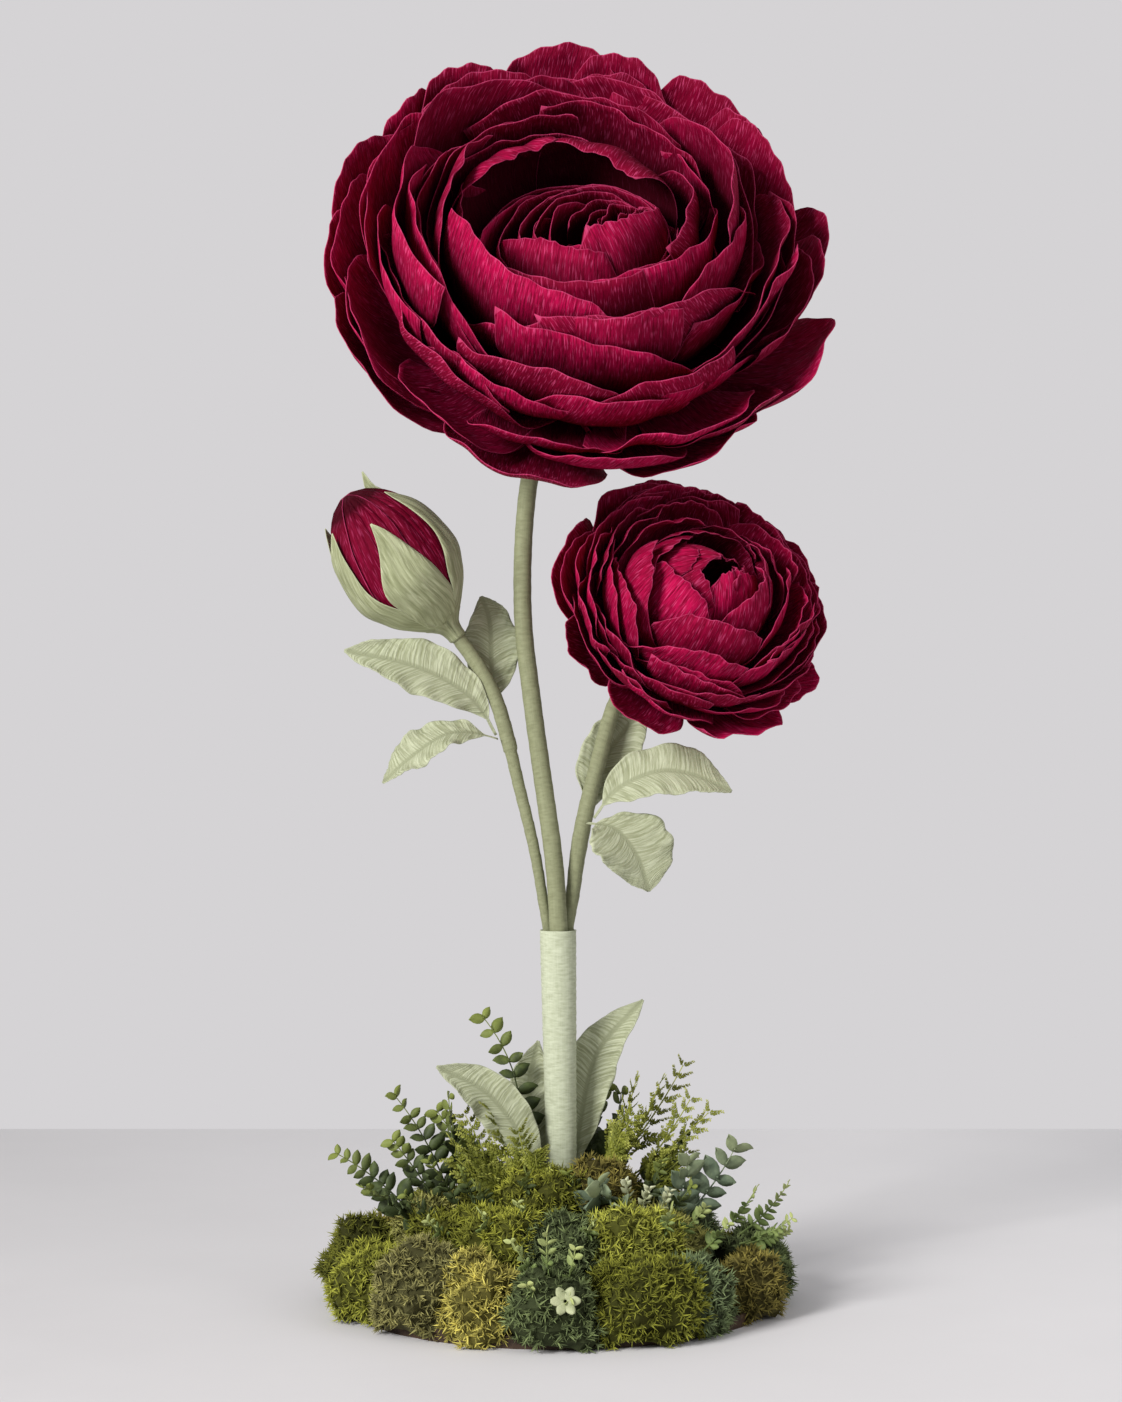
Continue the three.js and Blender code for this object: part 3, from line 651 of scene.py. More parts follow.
# %% Nine leaves
# Points of the midrib in millimetres, the way the blade faces at its base and tip, and its width
LEAVES = {
    "leaf_bud_left": ([(-62, 3, 566), (-81, -5, 598), (-110, -10, 620), (-150, -16, 637), (-212, -24, 650)],
                      (-0.2, -0.9, 0.4), (-0.2, -0.9, 0.4), 56),
    "leaf_bud_drooping": ([(-60, -7, 562), (-83, -14, 568), (-110, -22, 567), (-148, -37, 542),
                           (-172, -46, 519)], (0, -0.55, 0.83), (-0.5, -0.7, 0.5), 50),
    "leaf_bud_behind": ([(-64, 13, 590), (-67, 25, 629), (-70, 31, 684), (-78, 35, 706)],
                        (0.25, -0.96, 0), (0.25, -0.96, 0.1), 60),
    "leaf_second_behind": ([(32, 20, 478), (41, 27, 530), (64, 33, 566), (92, 36, 600)],
                           (0.2, -0.95, 0.1), (0.1, -0.95, 0.2), 56),
    "leaf_second_right": ([(36, 2, 483), (58, -6, 511), (100, -16, 530), (133, -22, 527), (172, -28, 510)],
                          (0, -0.85, 0.5), (0.2, -0.85, 0.5), 58),
    "leaf_second_folded": ([(29, -4, 478), (55, -26, 474), (77, -44, 448), (89, -54, 413)],
                           (0.1, -0.6, 0.8), (0.45, -0.85, 0.3), 88),
    "leaf_trunk_left": ([(-15, -6, 112), (-27, -13, 150), (-69, -23, 210), (-120, -34, 239)],
                        (-0.5, -0.75, 0.3), (-0.3, -0.8, 0.5), 50),
    "leaf_trunk_right": ([(15, 17, 112), (22, 23, 172), (40, 27, 245), (86, 30, 298)],
                         (-0.25, -0.95, 0.1), (-0.1, -0.95, 0.25), 50),
    "leaf_trunk_behind": ([(-9, 20, 112), (-22, 27, 165), (-29, 32, 211), (-20, 36, 256)],
                          (0, -1, 0), (0, -1, 0.1), 46),
}
LEAF_FOLD = 0.16
PETIOLE = 1.4
LEAF_ROWS = 60
LEAF_COLUMNS = 23


def leaf_grid(points, face_base, face_tip, width, seed):
    """Middle surface of a leaf along its midrib, in millimetres."""
    draw = np.random.default_rng(seed).uniform(-1, 1, 8)
    v = np.linspace(0, 1, LEAF_ROWS)
    s = np.linspace(-1, 1, LEAF_COLUMNS)[None, :, None]
    rib = smooth_path(points, LEAF_ROWS)
    along = unit(np.gradient(rib, axis=0))
    faces = np.array(face_base) + np.outer(v, np.array(face_tip) - np.array(face_base))
    side = unit(np.cross(along, faces))
    face = np.cross(side, along)
    open_part = np.clip((v - 0.1) / 0.9, 0, 1)
    half = np.maximum(PETIOLE, 0.5 * width * np.sin(math.pi * open_part) ** 0.8)
    edge = 1 + 0.03 * np.sin(19 * v + 6 * draw[0]) + 0.025 * np.sin(41 * v + 6 * draw[1])
    half = (half * np.where(half > 4, edge, 1))[:, None, None]
    v = v[:, None, None]
    ripple = 2.6 * np.sin(15 * v + 5 * draw[2] + 2 * s) + 1.5 * np.sin(33 * v + 5 * draw[3] - 3 * s)
    rise = LEAF_FOLD * np.abs(s) * half + ripple * s * s * np.minimum(1, half / 12)
    rise = rise + 0.8 * np.sin(60 * v - 0.09 * np.abs(s) * half * 9) * np.abs(s) * np.minimum(1, half / 12)
    return rib[:, None] + side[:, None] * s * half + face[:, None] * rise


leaves = []
for number, (node, shape) in enumerate(LEAVES.items()):
    sheet = sheet_arrays(leaf_grid(*shape, seed=40 + number) * MM, 0.5)
    leaves.append(piece(sheets_mesh(f"paper_{node}", [sheet]), LEAF, "sage_crepe", node))
print(len(leaves), "leaves,", triangles(leaves), "triangles")

# %% [markdown]
# ## Bud
# The bud's petals are wrapped round each other into an egg and are gathered into pleats at the
# top. Five sepals hug it, and their tips curl away. Both follow the egg's profile.

# %% Bud petals and sepals
BUD_BASE = np.array((-110.0, 0.0, 676.0))
BUD_TIP = np.array((-211.0, -22.0, 803.0))
BUD_AXIS = BUD_TIP - BUD_BASE
BUD_LENGTH = float(np.linalg.norm(BUD_AXIS))
BUD_STANDING = standing(BUD_BASE, BUD_AXIS)
EGG_POINTS = [(9, 0), (28, 0.1), (47, 0.24), (57, 0.42), (53, 0.63), (38, 0.83), (19, 0.96), (6, 1)]
EGG = smooth_path(EGG_POINTS, 200)
BUD_WRAPS = 6
BUD_ROWS = 27
BUD_COLUMNS = 44
BUD_FOOT = 0.02
BUD_LIGHT = 0.54  # how far the wraps are out of the painted shade of their pleats

# Turn, bend, half angle, reach along the egg and lift of the tip of each sepal
SEPALS = [
    (-1.5, 0.4, 0.95, 0.94, 5),
    (-0.15, 0.02, 0.8, 0.84, 4),
    (1.35, -0.52, 0.95, 0.94, 4),
    (2.5, 0.0, 0.8, 1.12, 30),
    (3.8, 0.1, 0.8, 0.98, 14),
]
SEPAL_CLEAR = 4.2
SEPAL_ROWS = 32
SEPAL_COLUMNS = 19
CALYX_FOOT = 0.03


def egg_radius(share):
    return np.interp(share, EGG[:, 1], EGG[:, 0])


def bud_wrap(k):
    """Middle surface of one petal that is wrapped round the egg, in millimetres."""
    s, v = np.meshgrid(np.linspace(-1, 1, BUD_COLUMNS), np.linspace(BUD_FOOT, 1, BUD_ROWS))
    angle = k * 2 * math.pi / BUD_WRAPS + s * 0.95 + 0.5 * v
    pleat = 3 * smooth_step(0.3, 0.9, v) * np.sin(15 * s + k) + 0.8 * np.sin(34 * s + 3 * k) * v
    lap = 1.4 * s * smooth_step(0.1, 0.5, v)
    radius = np.maximum(egg_radius(v) - 1.5 + lap + pleat * np.minimum(1, egg_radius(v) / 30), 1.5)
    return np.stack([radius * np.cos(angle), radius * np.sin(angle), v * BUD_LENGTH], -1)


def sepal_grid(turn, bend, half_angle, reach, lift):
    """Middle surface of a pointed sepal that lies on the egg, in millimetres."""
    s, v = np.meshgrid(np.linspace(-1, 1, SEPAL_COLUMNS), np.linspace(0, 1, SEPAL_ROWS))
    share = CALYX_FOOT + v ** 1.2 * (reach - CALYX_FOOT) * 0.92
    width = half_angle * np.maximum(0.018, (1 - v) ** 0.75 * (1 - 0.12 * np.sin(9 * v + 2 * turn) * v))
    wave = 0.9 * np.sin(14 * v + 4 * turn) * s * s + 0.7 * np.sin(11 * s + 3 * turn) * np.sin(math.pi * v)
    out = egg_radius(np.minimum(share, 0.93)) + SEPAL_CLEAR - 1.5 + lift * v ** 4 + wave
    angle = turn + bend * v ** 2 + s * width + 0.05 * np.sin(9 * v + turn)
    return np.stack([out * np.cos(angle), out * np.sin(angle), share * BUD_LENGTH + 2 * v], -1)


# Painted shade over the wraps, which deepens to full painted shadow at the gathered tip.
bud_painted_shade = BUD_LIGHT - BUD_LIGHT * smooth_step(0.84, 0.97, np.linspace(BUD_FOOT, 1, BUD_ROWS))[:, None]
wraps = [sheet_arrays(put(BUD_STANDING, bud_wrap(k)), 0.1 * (k % 3), bud_painted_shade) for k in range(BUD_WRAPS)]
bud = [piece(sheets_mesh("bud_wraps", wraps), CRIMSON, "crimson_crepe", "bud_petals")]
for number, shape in enumerate(SEPALS, 1):
    sheet = sheet_arrays(put(BUD_STANDING, sepal_grid(*shape)), 0.4 + 0.1 * number)
    mesh = sheets_mesh(f"paper_sepal_{number}", [sheet])
    bud.append(piece(mesh, SEPAL, "sage_crepe", f"bud_sepal_{number}"))
print("bud:", len(bud), "pieces,", triangles(bud), "triangles")

# %% [markdown]
# ## Calyxes
# Behind each bloom a cone of gathered sage paper carries the petals. Only its back shows, so it
# is a turned profile with pleats that run from the stem to the rim.

# %% Gathered calyxes
def calyx_mesh(name, profile, hub, axis, pleats):
    """A closed shape turned about an axis, with pleats that are deepest in the middle."""
    line = smooth_path(profile, 40)
    angle = np.linspace(0, 2 * math.pi, 6 * pleats, endpoint=False)
    share = np.sin(math.pi * np.linspace(0, 1, len(line)))[:, None]
    radius = np.maximum(line[:, :1] * (1 + 0.035 * share * np.sin(pleats * angle)), 0.0)
    height = np.broadcast_to(line[:, 1:], radius.shape)
    points = np.stack([radius * np.cos(angle), radius * np.sin(angle), height], -1)
    rows, columns, _ = points.shape
    points = put(standing(hub, axis), points).reshape(-1, 3)
    mesh = smooth_mesh(name, points, ring_faces(rows, columns))
    layer = mesh.uv_layers.new(name="sheet")
    sheet = np.broadcast_arrays(angle[None] * 0.02, np.linspace(0, 0.09, rows)[:, None])
    uv = np.stack(sheet, -1).reshape(-1, 2)
    corners = np.zeros(len(mesh.loops), int)
    mesh.loops.foreach_get("vertex_index", corners)
    layer.data.foreach_set("uv", uv[corners].astype(np.float32).ravel())
    for key, value in (("rim", 1.0), ("tone", 0.5), ("reach", 1.0)):
        store_values(mesh, key, np.full(rows * columns, value))
    return mesh


MAIN_CALYX = [(0.5, -48), (10.5, -47), (14, -34), (27, -20), (38.6, -1), (15.2, 30), (0.5, 36)]
SECOND_CALYX = [(0.5, -32), (8.5, -31), (11, -22), (17, -11), (20.8, -1), (9.2, 16.5), (0.5, 20)]
BUD_COLLAR = [(0.5, -17), (8.6, -16.5), (9.6, -10), (11.5, -3), (16.5, 3), (22, 9), (0.5, 11)]
CALYXES = [
    ("main_calyx_paper", MAIN_CALYX, MAIN_HUB, MAIN_AXIS, 11, ["main_calyx"]),
    ("second_calyx_paper", SECOND_CALYX, SECOND_HUB, SECOND_AXIS, 9, ["second_calyx"]),
    ("bud_collar", BUD_COLLAR, BUD_BASE, BUD_AXIS, 7, []),
]
calyxes = [piece(calyx_mesh(*shape), SEPAL, "sage_crepe", *nodes) for *shape, nodes in CALYXES]
print("calyxes:", triangles(calyxes), "triangles")

# %% [markdown]
# ## Geometry Nodes helper
# A Geometry Nodes tree is made once, with named inputs, and is then used on several meshes. The
# result is copied into a plain mesh, so nothing depends on the modifier afterwards.

# %% Trees with named inputs
class Grower(NodeTree):
    """A Geometry Nodes tree with named inputs that turns one mesh into another."""

    def __init__(self, name, **inputs):
        super().__init__(bpy.data.node_groups.new(name, "GeometryNodeTree"))
        face = self.tree.interface
        face.new_socket("Geometry", in_out="OUTPUT", socket_type="NodeSocketGeometry")
        face.new_socket("Geometry", in_out="INPUT", socket_type="NodeSocketGeometry")
        self.keys = {
            key: face.new_socket(key, in_out="INPUT", socket_type=f"NodeSocket{kind}").identifier
            for key, kind in inputs.items()
        }
        self.inside = self.tree.nodes.new("NodeGroupInput")

    def given(self, key="Geometry"):
        return Socket(self, self.inside.outputs[key])

    def named(self, key):
        return self.node("GeometryNodeInputNamedAttribute", {"data_type": "FLOAT"}, {"Name": key})

    def store(self, geometry, key, value, domain="POINT"):
        settings = {"data_type": "FLOAT", "domain": domain}
        sockets = {"Geometry": geometry, "Name": key, "Value": value}
        return self.node("GeometryNodeStoreNamedAttribute", settings, sockets)

    def random(self, low, high, seed):
        settings = {"data_type": "FLOAT"}
        return self.node("FunctionNodeRandomValue", settings, {2: low, 3: high, 8: seed}, out=1)

    def vector(self, operation, *values, out=0):
        settings = {"operation": operation}
        return self.node("ShaderNodeVectorMath", settings, dict(enumerate(values)), out=out)

    def scaled(self, vector, factor):
        settings = {"operation": "SCALE"}
        return self.node("ShaderNodeVectorMath", settings, {0: vector, "Scale": factor})

    def rotated(self, rotation, angles):
        """A rotation with a further turn about its own axes."""
        turn = self.node("FunctionNodeEulerToRotation", sockets={0: angles})
        settings = {"rotation_space": "LOCAL"}
        return self.node("FunctionNodeRotateRotation", settings, {0: rotation, 1: turn})

    def swept(self, line, sides, around=None):
        """A closed tube along a line, as thick as its girth. It can store the way round."""
        ring = self.node("GeometryNodeCurvePrimitiveCircle", sockets={"Resolution": sides, "Radius": 1.0})
        if around:
            ring = self.store(ring, around, self.node("GeometryNodeSplineParameter"))
        sockets = {0: line, 1: ring, "Scale": self.named("girth"), "Fill Caps": True}
        return self.node("GeometryNodeCurveToMesh", sockets=sockets)

    def end(self, geometry):
        whole = self.node("GeometryNodeRealizeInstances", sockets={"Geometry": geometry})
        sockets = {0: whole, "Material": self.given("Material")}
        dressed = self.node("GeometryNodeSetMaterial", sockets=sockets)
        last = self.tree.nodes.new("NodeGroupOutput")
        self.tree.links.new(dressed.socket, last.inputs[0])

    def grow(self, name, source, **values):
        """The plain mesh that the tree makes of a source mesh."""
        made = placed(name, source)
        changes = made.modifiers.new(name, "NODES")
        changes.node_group = self.tree
        for key, value in values.items():
            changes[self.keys[key]] = value
        graph = bpy.context.evaluated_depsgraph_get()
        mesh = bpy.data.meshes.new_from_object(made.evaluated_get(graph))
        mesh.name = name
        made.modifiers.remove(changes)
        bpy.data.objects.remove(made)
        return mesh


def path_mesh(points, girth, lines=1):
    """Lines of points in metres, equally many in each, that carry the radius at each point."""
    mesh = bpy.data.meshes.new("path")
    count = len(points) // lines
    mesh.from_pydata(points, [(k, k + 1) for k in range(len(points) - 1) if (k + 1) % count], [])
    store_values(mesh, "girth", girth)
    return mesh


print("tree helpers ready")

# %% [markdown]
# ## Wrapped stems
# Each stem is a rod wound with a strip of crepe, so a shallow step runs round it like a screw
# thread. The tree sweeps a circle along the path and lifts it by a saw tooth of the distance
# along plus the way round. It also stores both, and the finish reads them for the strip's edge.

# %% Wound paper finish and tree
STRIP = 17 * MM


def wound_paper(name, deep, plain, light, wrinkles):
    finish = Finish(name, Specular_IOR_Level=0.25)
    along = finish.attribute("along")
    around = finish.attribute("around")
    turn = (along * (1 / STRIP) + around).fraction()
    wrinkle = finish.noise(finish.join(along * wrinkles, around * 5.0), detail=4.0)
    streak = finish.noise(finish.join(along * 30.0, around * 40.0), detail=2.0)
    body = finish.mix(finish.between(wrinkle, 0.3, 0.62), deep, plain)
    body = finish.mix(finish.between(streak, 0.45, 0.75, 0.0, 0.35), body, light)
    seam = finish.between(turn, 0.0, 0.06, 0.35, 0.0)
    finish.feed("Base Color", finish.mix(seam, body, deep))
    finish.feed("Roughness", finish.between(wrinkle, 0.3, 0.7, 0.8, 0.6))
    finish.bump(wrinkle + turn * 0.4, 0.45, 1.2 * MM)
    return finish.material


STEM_PAPER = wound_paper("stem_paper", colour(122, 124, 93), colour(138, 141, 108),
                         colour(151, 154, 122), wrinkles=330.0)
TRUNK_PAPER = wound_paper("trunk_paper", colour(166, 171, 142), colour(192, 197, 170),
                          colour(206, 210, 186), wrinkles=420.0)


def wound_tree():
    """Sweeps a stem along its path and lifts the winding paper by its step."""
    tree = Grower("wound_rod", Sides="Int", Step="Float", Strip="Float", Material="Material")
    line = tree.node("GeometryNodeMeshToCurve", sockets={0: tree.given()})
    line = tree.store(line, "along", tree.node("GeometryNodeSplineParameter", out=1))
    tube = tree.swept(line, tree.given("Sides"), "around")
    turns = tree.named("along") / tree.given("Strip")
    rise = (turns + tree.named("around")).fraction() * tree.given("Step")
    lifted = tree.scaled(tree.node("GeometryNodeInputNormal"), rise)
    tube = tree.node("GeometryNodeSetPosition", sockets={0: tube, "Offset": lifted})
    tree.end(tree.node("GeometryNodeSetShadeSmooth", sockets={0: tube}))
    return tree


wound_rod = wound_tree()
print("wound_rod inputs:", list(wound_rod.keys))

# %% Three stems
MAIN_FOOT = 16.6
SIDE_FOOT = 341
STEM_STEPS = 150
STEM_SIDES = 24
STRIP_STEP = 0.45 * MM


def below(hub, axis, depth):
    """A point on a bloom's axis, a millimetre further down than a depth below its hub."""
    return tuple(np.array(hub) - unit(np.array(axis)) * (depth + 1))


# Points in millimetres that a stem runs through, then its radius at shares of its length
STEMS = {
    "main_stem": ([(4.9, 0, MAIN_FOOT), (3.6, -1, 120), (1.8, -4, 250), (0.5, -6.8, 371), (-4, -4, 440),
                   (-15, 4, 520), (-26, 12, 600), (-35, 20, 680), (-35, 32, 760), (-29, 50, 826),
                   (-15, 78, 888), below(MAIN_HUB, MAIN_AXIS, 72), below(MAIN_HUB, MAIN_AXIS, 48)],
                  [(0, 9.0), (1, 8.8)]),
    "second_stem": ([(9, 5.4, SIDE_FOOT), (9.4, 5.6, 372), (15, 7, 408), (19, 8, 440), (26, 9, 480),
                     (39, 13, 533), (58, 24, 598), (80, 48, 630), below(SECOND_HUB, SECOND_AXIS, 48),
                     below(SECOND_HUB, SECOND_AXIS, 32)], [(0, 5.4), (0.28, 7.6), (0.33, 8.2), (1, 7.2)]),
    "bud_stem": ([(-10.2, 4.4, SIDE_FOOT), (-10.6, 4.5, 372), (-15, 5, 400), (-21, 4, 437), (-27, 3, 466),
                  (-40, 2, 519), (-50, 2, 561), (-62, 1, 601), (-76, 1, 629), (-96, 3, 658),
                  below(BUD_BASE, BUD_AXIS, 0)], [(0, 4.6), (0.6, 6.0), (0.605, 7.2), (1, 7.2)]),
}
stems = []
for node, (points, girths) in STEMS.items():
    path = smooth_path(points, STEM_STEPS) * MM
    girth = np.interp(np.linspace(0, 1, len(path)), *zip(*girths)) * MM
    mesh = wound_rod.grow(f"wound_{node}", path_mesh(path, girth), Sides=STEM_SIDES,
                          Step=STRIP_STEP, Strip=STRIP, Material=STEM_PAPER)
    stems.append(piece(mesh, None, "wrapped_stem", node))
print("stems:", triangles(stems), "triangles")

# %% [markdown]
# ## Trunk
# A paper sleeve is wound round the three stems. It is open at the top, where they come out, so
# it has an inner wall, and its surface is drawn into fine level wrinkles.

# %% Trunk sleeve
SLEEVE_FOOT = (5.0, 35.0, 13.6)
SLEEVE_RIM = (0.0, 371.0, 18.0)
SLEEVE_WALL = 0.7


def sleeve_mesh():
    """A tube with an outer and an inner wall that are joined at both ends."""
    sides = 40
    rows = 110
    share = np.linspace(0, 1, rows)[:, None]
    angle = np.linspace(0, 2 * math.pi, sides, endpoint=False)[None]
    centre, level, radius = [a + (b - a) * share for a, b in zip(SLEEVE_FOOT, SLEEVE_RIM)]
    wrinkle = 0.25 * np.sin(level * 0.9 + 1.3 * np.sin(angle + 0.02 * level))
    wrinkle = wrinkle + 0.12 * np.sin(level * 0.37 + 2.1 * np.sin(2 * angle + 1))
    outer = radius + 0.2 + wrinkle
    inner = radius - SLEEVE_WALL + 0 * angle
    walls = [np.stack(np.broadcast_arrays(centre + r * np.cos(angle), r * np.sin(angle), level), -1)
             for r in (outer, inner)]
    points = np.concatenate([walls[0], walls[1][::-1]])
    count = 2 * rows
    ids = np.arange(count * sides).reshape(count, sides)
    after = np.roll(ids, -1, axis=1)
    below_ids = np.roll(ids, -1, axis=0)
    faces = np.stack([ids, after, np.roll(after, -1, axis=0), below_ids], -1).reshape(-1, 4)
    mesh = smooth_mesh("trunk_sleeve", points.reshape(-1, 3) * MM, faces.tolist())
    levels = np.concatenate([level, level[::-1]]) + 0 * angle
    ways = np.broadcast_to(np.abs(angle / math.pi - 1), levels.shape)
    store_values(mesh, "along", levels * MM)
    store_values(mesh, "around", ways)
    return mesh


trunk = piece(sleeve_mesh(), TRUNK_PAPER, "sage_crepe", "trunk_wrap")
print("trunk:", triangles([trunk]), "triangles")

# %% [markdown]
# ## Moss
# Preserved moss is sold in cushions of many kinds, so the base is a patchwork of lumps in gold,
# olive, teal and brown. Each lump is a dome, and the tree scatters small forked twigs over it.
# The twigs carry a tip value: towards it their ends get lighter, partly the moss's own paler
# tips and partly a painted highlight, and the domes and the twigs' feet get a painted shade, as
# deep in a cushion. Each lump carries its colour. Each ring of lumps is made in two pieces, its
# front and its back.

# %% Moss finish and twig
def moss_finish():
    finish = Finish("moss", Specular_IOR_Level=0.2, Roughness=0.9)
    tint = finish.attribute("tint", out=0)
    tip = finish.attribute("tip")
    shade = finish.attribute("shade")
    patch = finish.noise(finish.object_place(), 38.0, 3.0)
    dark = finish.mix(1.0, tint, (0.2, 0.2, 0.17, 1), "MULTIPLY")
    light = finish.mix(1.0, tint, (2.3, 2.25, 2.0, 1), "MULTIPLY")
    # Painted shade deep in the cushion: the domes and the twigs' feet go dark.
    body = finish.mix(finish.between(tip + (patch - 0.5) * 0.8, 0.0, 0.7), dark, tint)
    # Lighter tips: partly the moss's own paler ends and partly a painted highlight.
    lit = tip * (0.35 + shade * 0.65) + (patch - 0.5) * 0.5
    body = finish.mix(finish.between(lit, 0.3, 1.0), body, light)
    finish.feed("Base Color", body)
    return finish.material


MOSS = moss_finish()


def spike(start, end, radius):
    """Points and faces of a closed three-sided spike between two points."""
    way = (Vector(end) - Vector(start)).normalized()
    side = way.orthogonal().normalized() * radius
    points = [tuple(Vector(start) + Matrix.Rotation(2 * math.pi * k / 3, 3, way) @ side) for k in range(3)]
    return [*points, tuple(end)], [(0, 1, 3), (1, 2, 3), (2, 0, 3), (2, 1, 0)]


def twig_object():
    """A fork of spikes, in metres, with a tip value from 0 to 1."""
    arms = [(Vector((0, 0, -1)), Vector((0, 0, 9)), 1.1)]
    for k, lean in enumerate((0.7, 1.05, 0.5, 1.1)):
        turn = 2.4 * k
        way = Vector((math.sin(lean) * math.cos(turn), math.sin(lean) * math.sin(turn), math.cos(lean)))
        start = Vector((0, 0, 0.6 + 0.8 * k))
        arms.append((start, start + way * 7.5, 0.95))
    points, faces = [], []
    for arm in arms:
        more_points, more_faces = spike(*arm)
        faces += [tuple(index + len(points) for index in face) for face in more_faces]
        points += more_points
    mesh = bpy.data.meshes.new("twig")
    mesh.from_pydata(np.array(points) * MM, [], faces)
    tips = np.clip(np.array([point[2] for point in points]) / 8, 0, 1)
    store_values(mesh, "tip", tips)
    return placed("twig", mesh)


twig = twig_object()
print("a twig has", triangles([twig]), "triangles")

# %% Moss tree
def moss_tree():
    """Gives domes an uneven skin, and sets twigs on them where they can be seen."""
    tree = Grower("moss_cushion", Twig="Object", Density="Float", Small="Float", Large="Float",
                  Bumps="Float", Seed="Int", Material="Material")
    normal = tree.node("GeometryNodeInputNormal")
    uneven = tree.node("ShaderNodeTexNoise", sockets={"Scale": 34.0, "Detail": 3.0})
    pushed = tree.scaled(normal, (uneven - 0.5) * tree.given("Bumps"))
    core = tree.node("GeometryNodeSetPosition", sockets={0: tree.given(), "Offset": pushed})
    upward = tree.node("ShaderNodeSeparateXYZ", sockets={0: normal}, out=2)
    level = tree.vector("MULTIPLY", tree.node("GeometryNodeInputPosition"), (1.0, 1.0, 0.0))
    outward = tree.vector("DOT_PRODUCT", tree.vector("NORMALIZE", level), normal, out=1)

    # Faces that look outward or up get twigs, and those that look down don't.
    facing = outward.maths("MAXIMUM", outward + 0.35, upward - 0.55)
    facing = outward.maths("MINIMUM", facing, upward + 0.6)
    spots = tree.node("GeometryNodeDistributePointsOnFaces", sockets={
        0: core, "Selection": facing.maths("GREATER_THAN", facing, 0.0),
        "Density": tree.given("Density"), "Seed": tree.given("Seed")})
    spin = tree.node("ShaderNodeCombineXYZ", sockets={
        0: tree.random(-0.6, 0.6, 1), 1: tree.random(-0.6, 0.6, 2), 2: tree.random(0.0, 6.28, 3)})
    turned = tree.rotated(spots.output(2), spin)
    size = tree.random(tree.given("Small"), tree.given("Large"), 4)
    info = tree.node("GeometryNodeObjectInfo", sockets={0: tree.given("Twig")}, out=4)
    twigs = tree.node("GeometryNodeInstanceOnPoints",
                      sockets={0: spots, "Instance": info, "Rotation": turned, "Scale": size})
    twigs = tree.store(twigs, "shade", tree.random(0.0, 1.0, 5), "INSTANCE")
    tree.end(tree.node("GeometryNodeJoinGeometry", sockets={0: [core, twigs]}))
    return tree


moss_cushion = moss_tree()
print("moss_cushion inputs:", list(moss_cushion.keys))

# %% Moss lumps
GOLD = colour(180, 170, 88)
OLIVE = colour(122, 124, 46)
DARK_OLIVE = colour(104, 106, 40)
GREY_OLIVE = colour(132, 128, 80)
TEAL = colour(104, 116, 76)
BLUE_GREEN = colour(114, 128, 90)
BROWN = colour(128, 118, 60)
BRIGHT = colour(144, 146, 58)
YELLOW_GREEN = colour(160, 162, 70)
PALE_OLIVE = colour(152, 150, 86)

# Lump colours start at the left and run along the front to the right, then round the back
OUTER = [DARK_OLIVE, BRIGHT, GREY_OLIVE, GOLD, TEAL, OLIVE, BLUE_GREEN, BROWN, TEAL,
         OLIVE, DARK_OLIVE, BRIGHT, GREY_OLIVE, OLIVE, TEAL, BROWN]
MIDDLE = [PALE_OLIVE, OLIVE, BRIGHT, TEAL, YELLOW_GREEN, PALE_OLIVE, BLUE_GREEN,
          OLIVE, BROWN, BRIGHT, DARK_OLIVE, OLIVE]
TOP = [OLIVE, BRIGHT, OLIVE, BROWN, DARK_OLIVE, BRIGHT, OLIVE, BRIGHT]
UNDERCUT = 0.5  # a dome starts this far below its widest place, in radians
DOME_ROWS = 11
DOME_COLUMNS = 24


def lumps_mesh(name, tints, shown, ring, depth, height, foot, seed):
    """Domes side by side on a ring, each with its colour, of which only some are made."""
    draw = np.random.default_rng(seed).uniform(-1, 1, (len(tints), 5))
    pitch = 2 * math.pi / len(tints)
    points, faces, paints = [], [], []
    for k in shown:
        middle = math.pi + pitch * (k + 0.2 * draw[k, 0])
        across = depth * (0.92 + 0.1 * draw[k, 1])
        broad = ring * math.sin(pitch / 2) * (1.34 + 0.25 * draw[k, 2])
        front = -math.sin(middle)
        tall = height * (0.86 + 0.14 * front + 0.16 * draw[k, 3])
        away = ring + 6 * draw[k, 4]
        rise = np.linspace(-UNDERCUT, math.pi / 2, DOME_ROWS)[:, None]
        turn = np.linspace(0, 2 * math.pi, DOME_COLUMNS, endpoint=False)[None]
        bulge = 1 + 0.1 * np.sin(3 * turn + 5 * draw[k, 0]) * np.cos(rise)
        out = away + across * np.cos(turn) * np.cos(rise) * bulge
        side = broad * np.sin(turn) * np.cos(rise) * bulge
        climb = tall * (np.sin(rise) + math.sin(UNDERCUT)) / (1 + math.sin(UNDERCUT))
        level = foot + climb * np.ones_like(turn)
        x = out * math.cos(middle) - side * math.sin(middle)
        y = out * math.sin(middle) + side * math.cos(middle)
        faces += ring_faces(DOME_ROWS, DOME_COLUMNS, len(points))
        points += np.stack([x, y, level], -1).reshape(-1, 3).tolist()
        paints += [tints[k]] * (DOME_ROWS * DOME_COLUMNS)
    mesh = bpy.data.meshes.new(name)
    mesh.from_pydata(np.array(points) * MM, [], faces)
    paint = mesh.attributes.new("tint", "FLOAT_COLOR", "POINT")
    paint.data.foreach_set("color", np.array(paints, np.float32).ravel())
    return mesh


def keep_off_floor(mesh):
    """Lifts what hangs lower than a millimetre above the floor."""
    places = np.zeros(3 * len(mesh.vertices), np.float32)
    mesh.vertices.foreach_get("co", places)
    places[2::3] = np.maximum(places[2::3], MM)
    mesh.vertices.foreach_set("co", places)
    mesh.update()


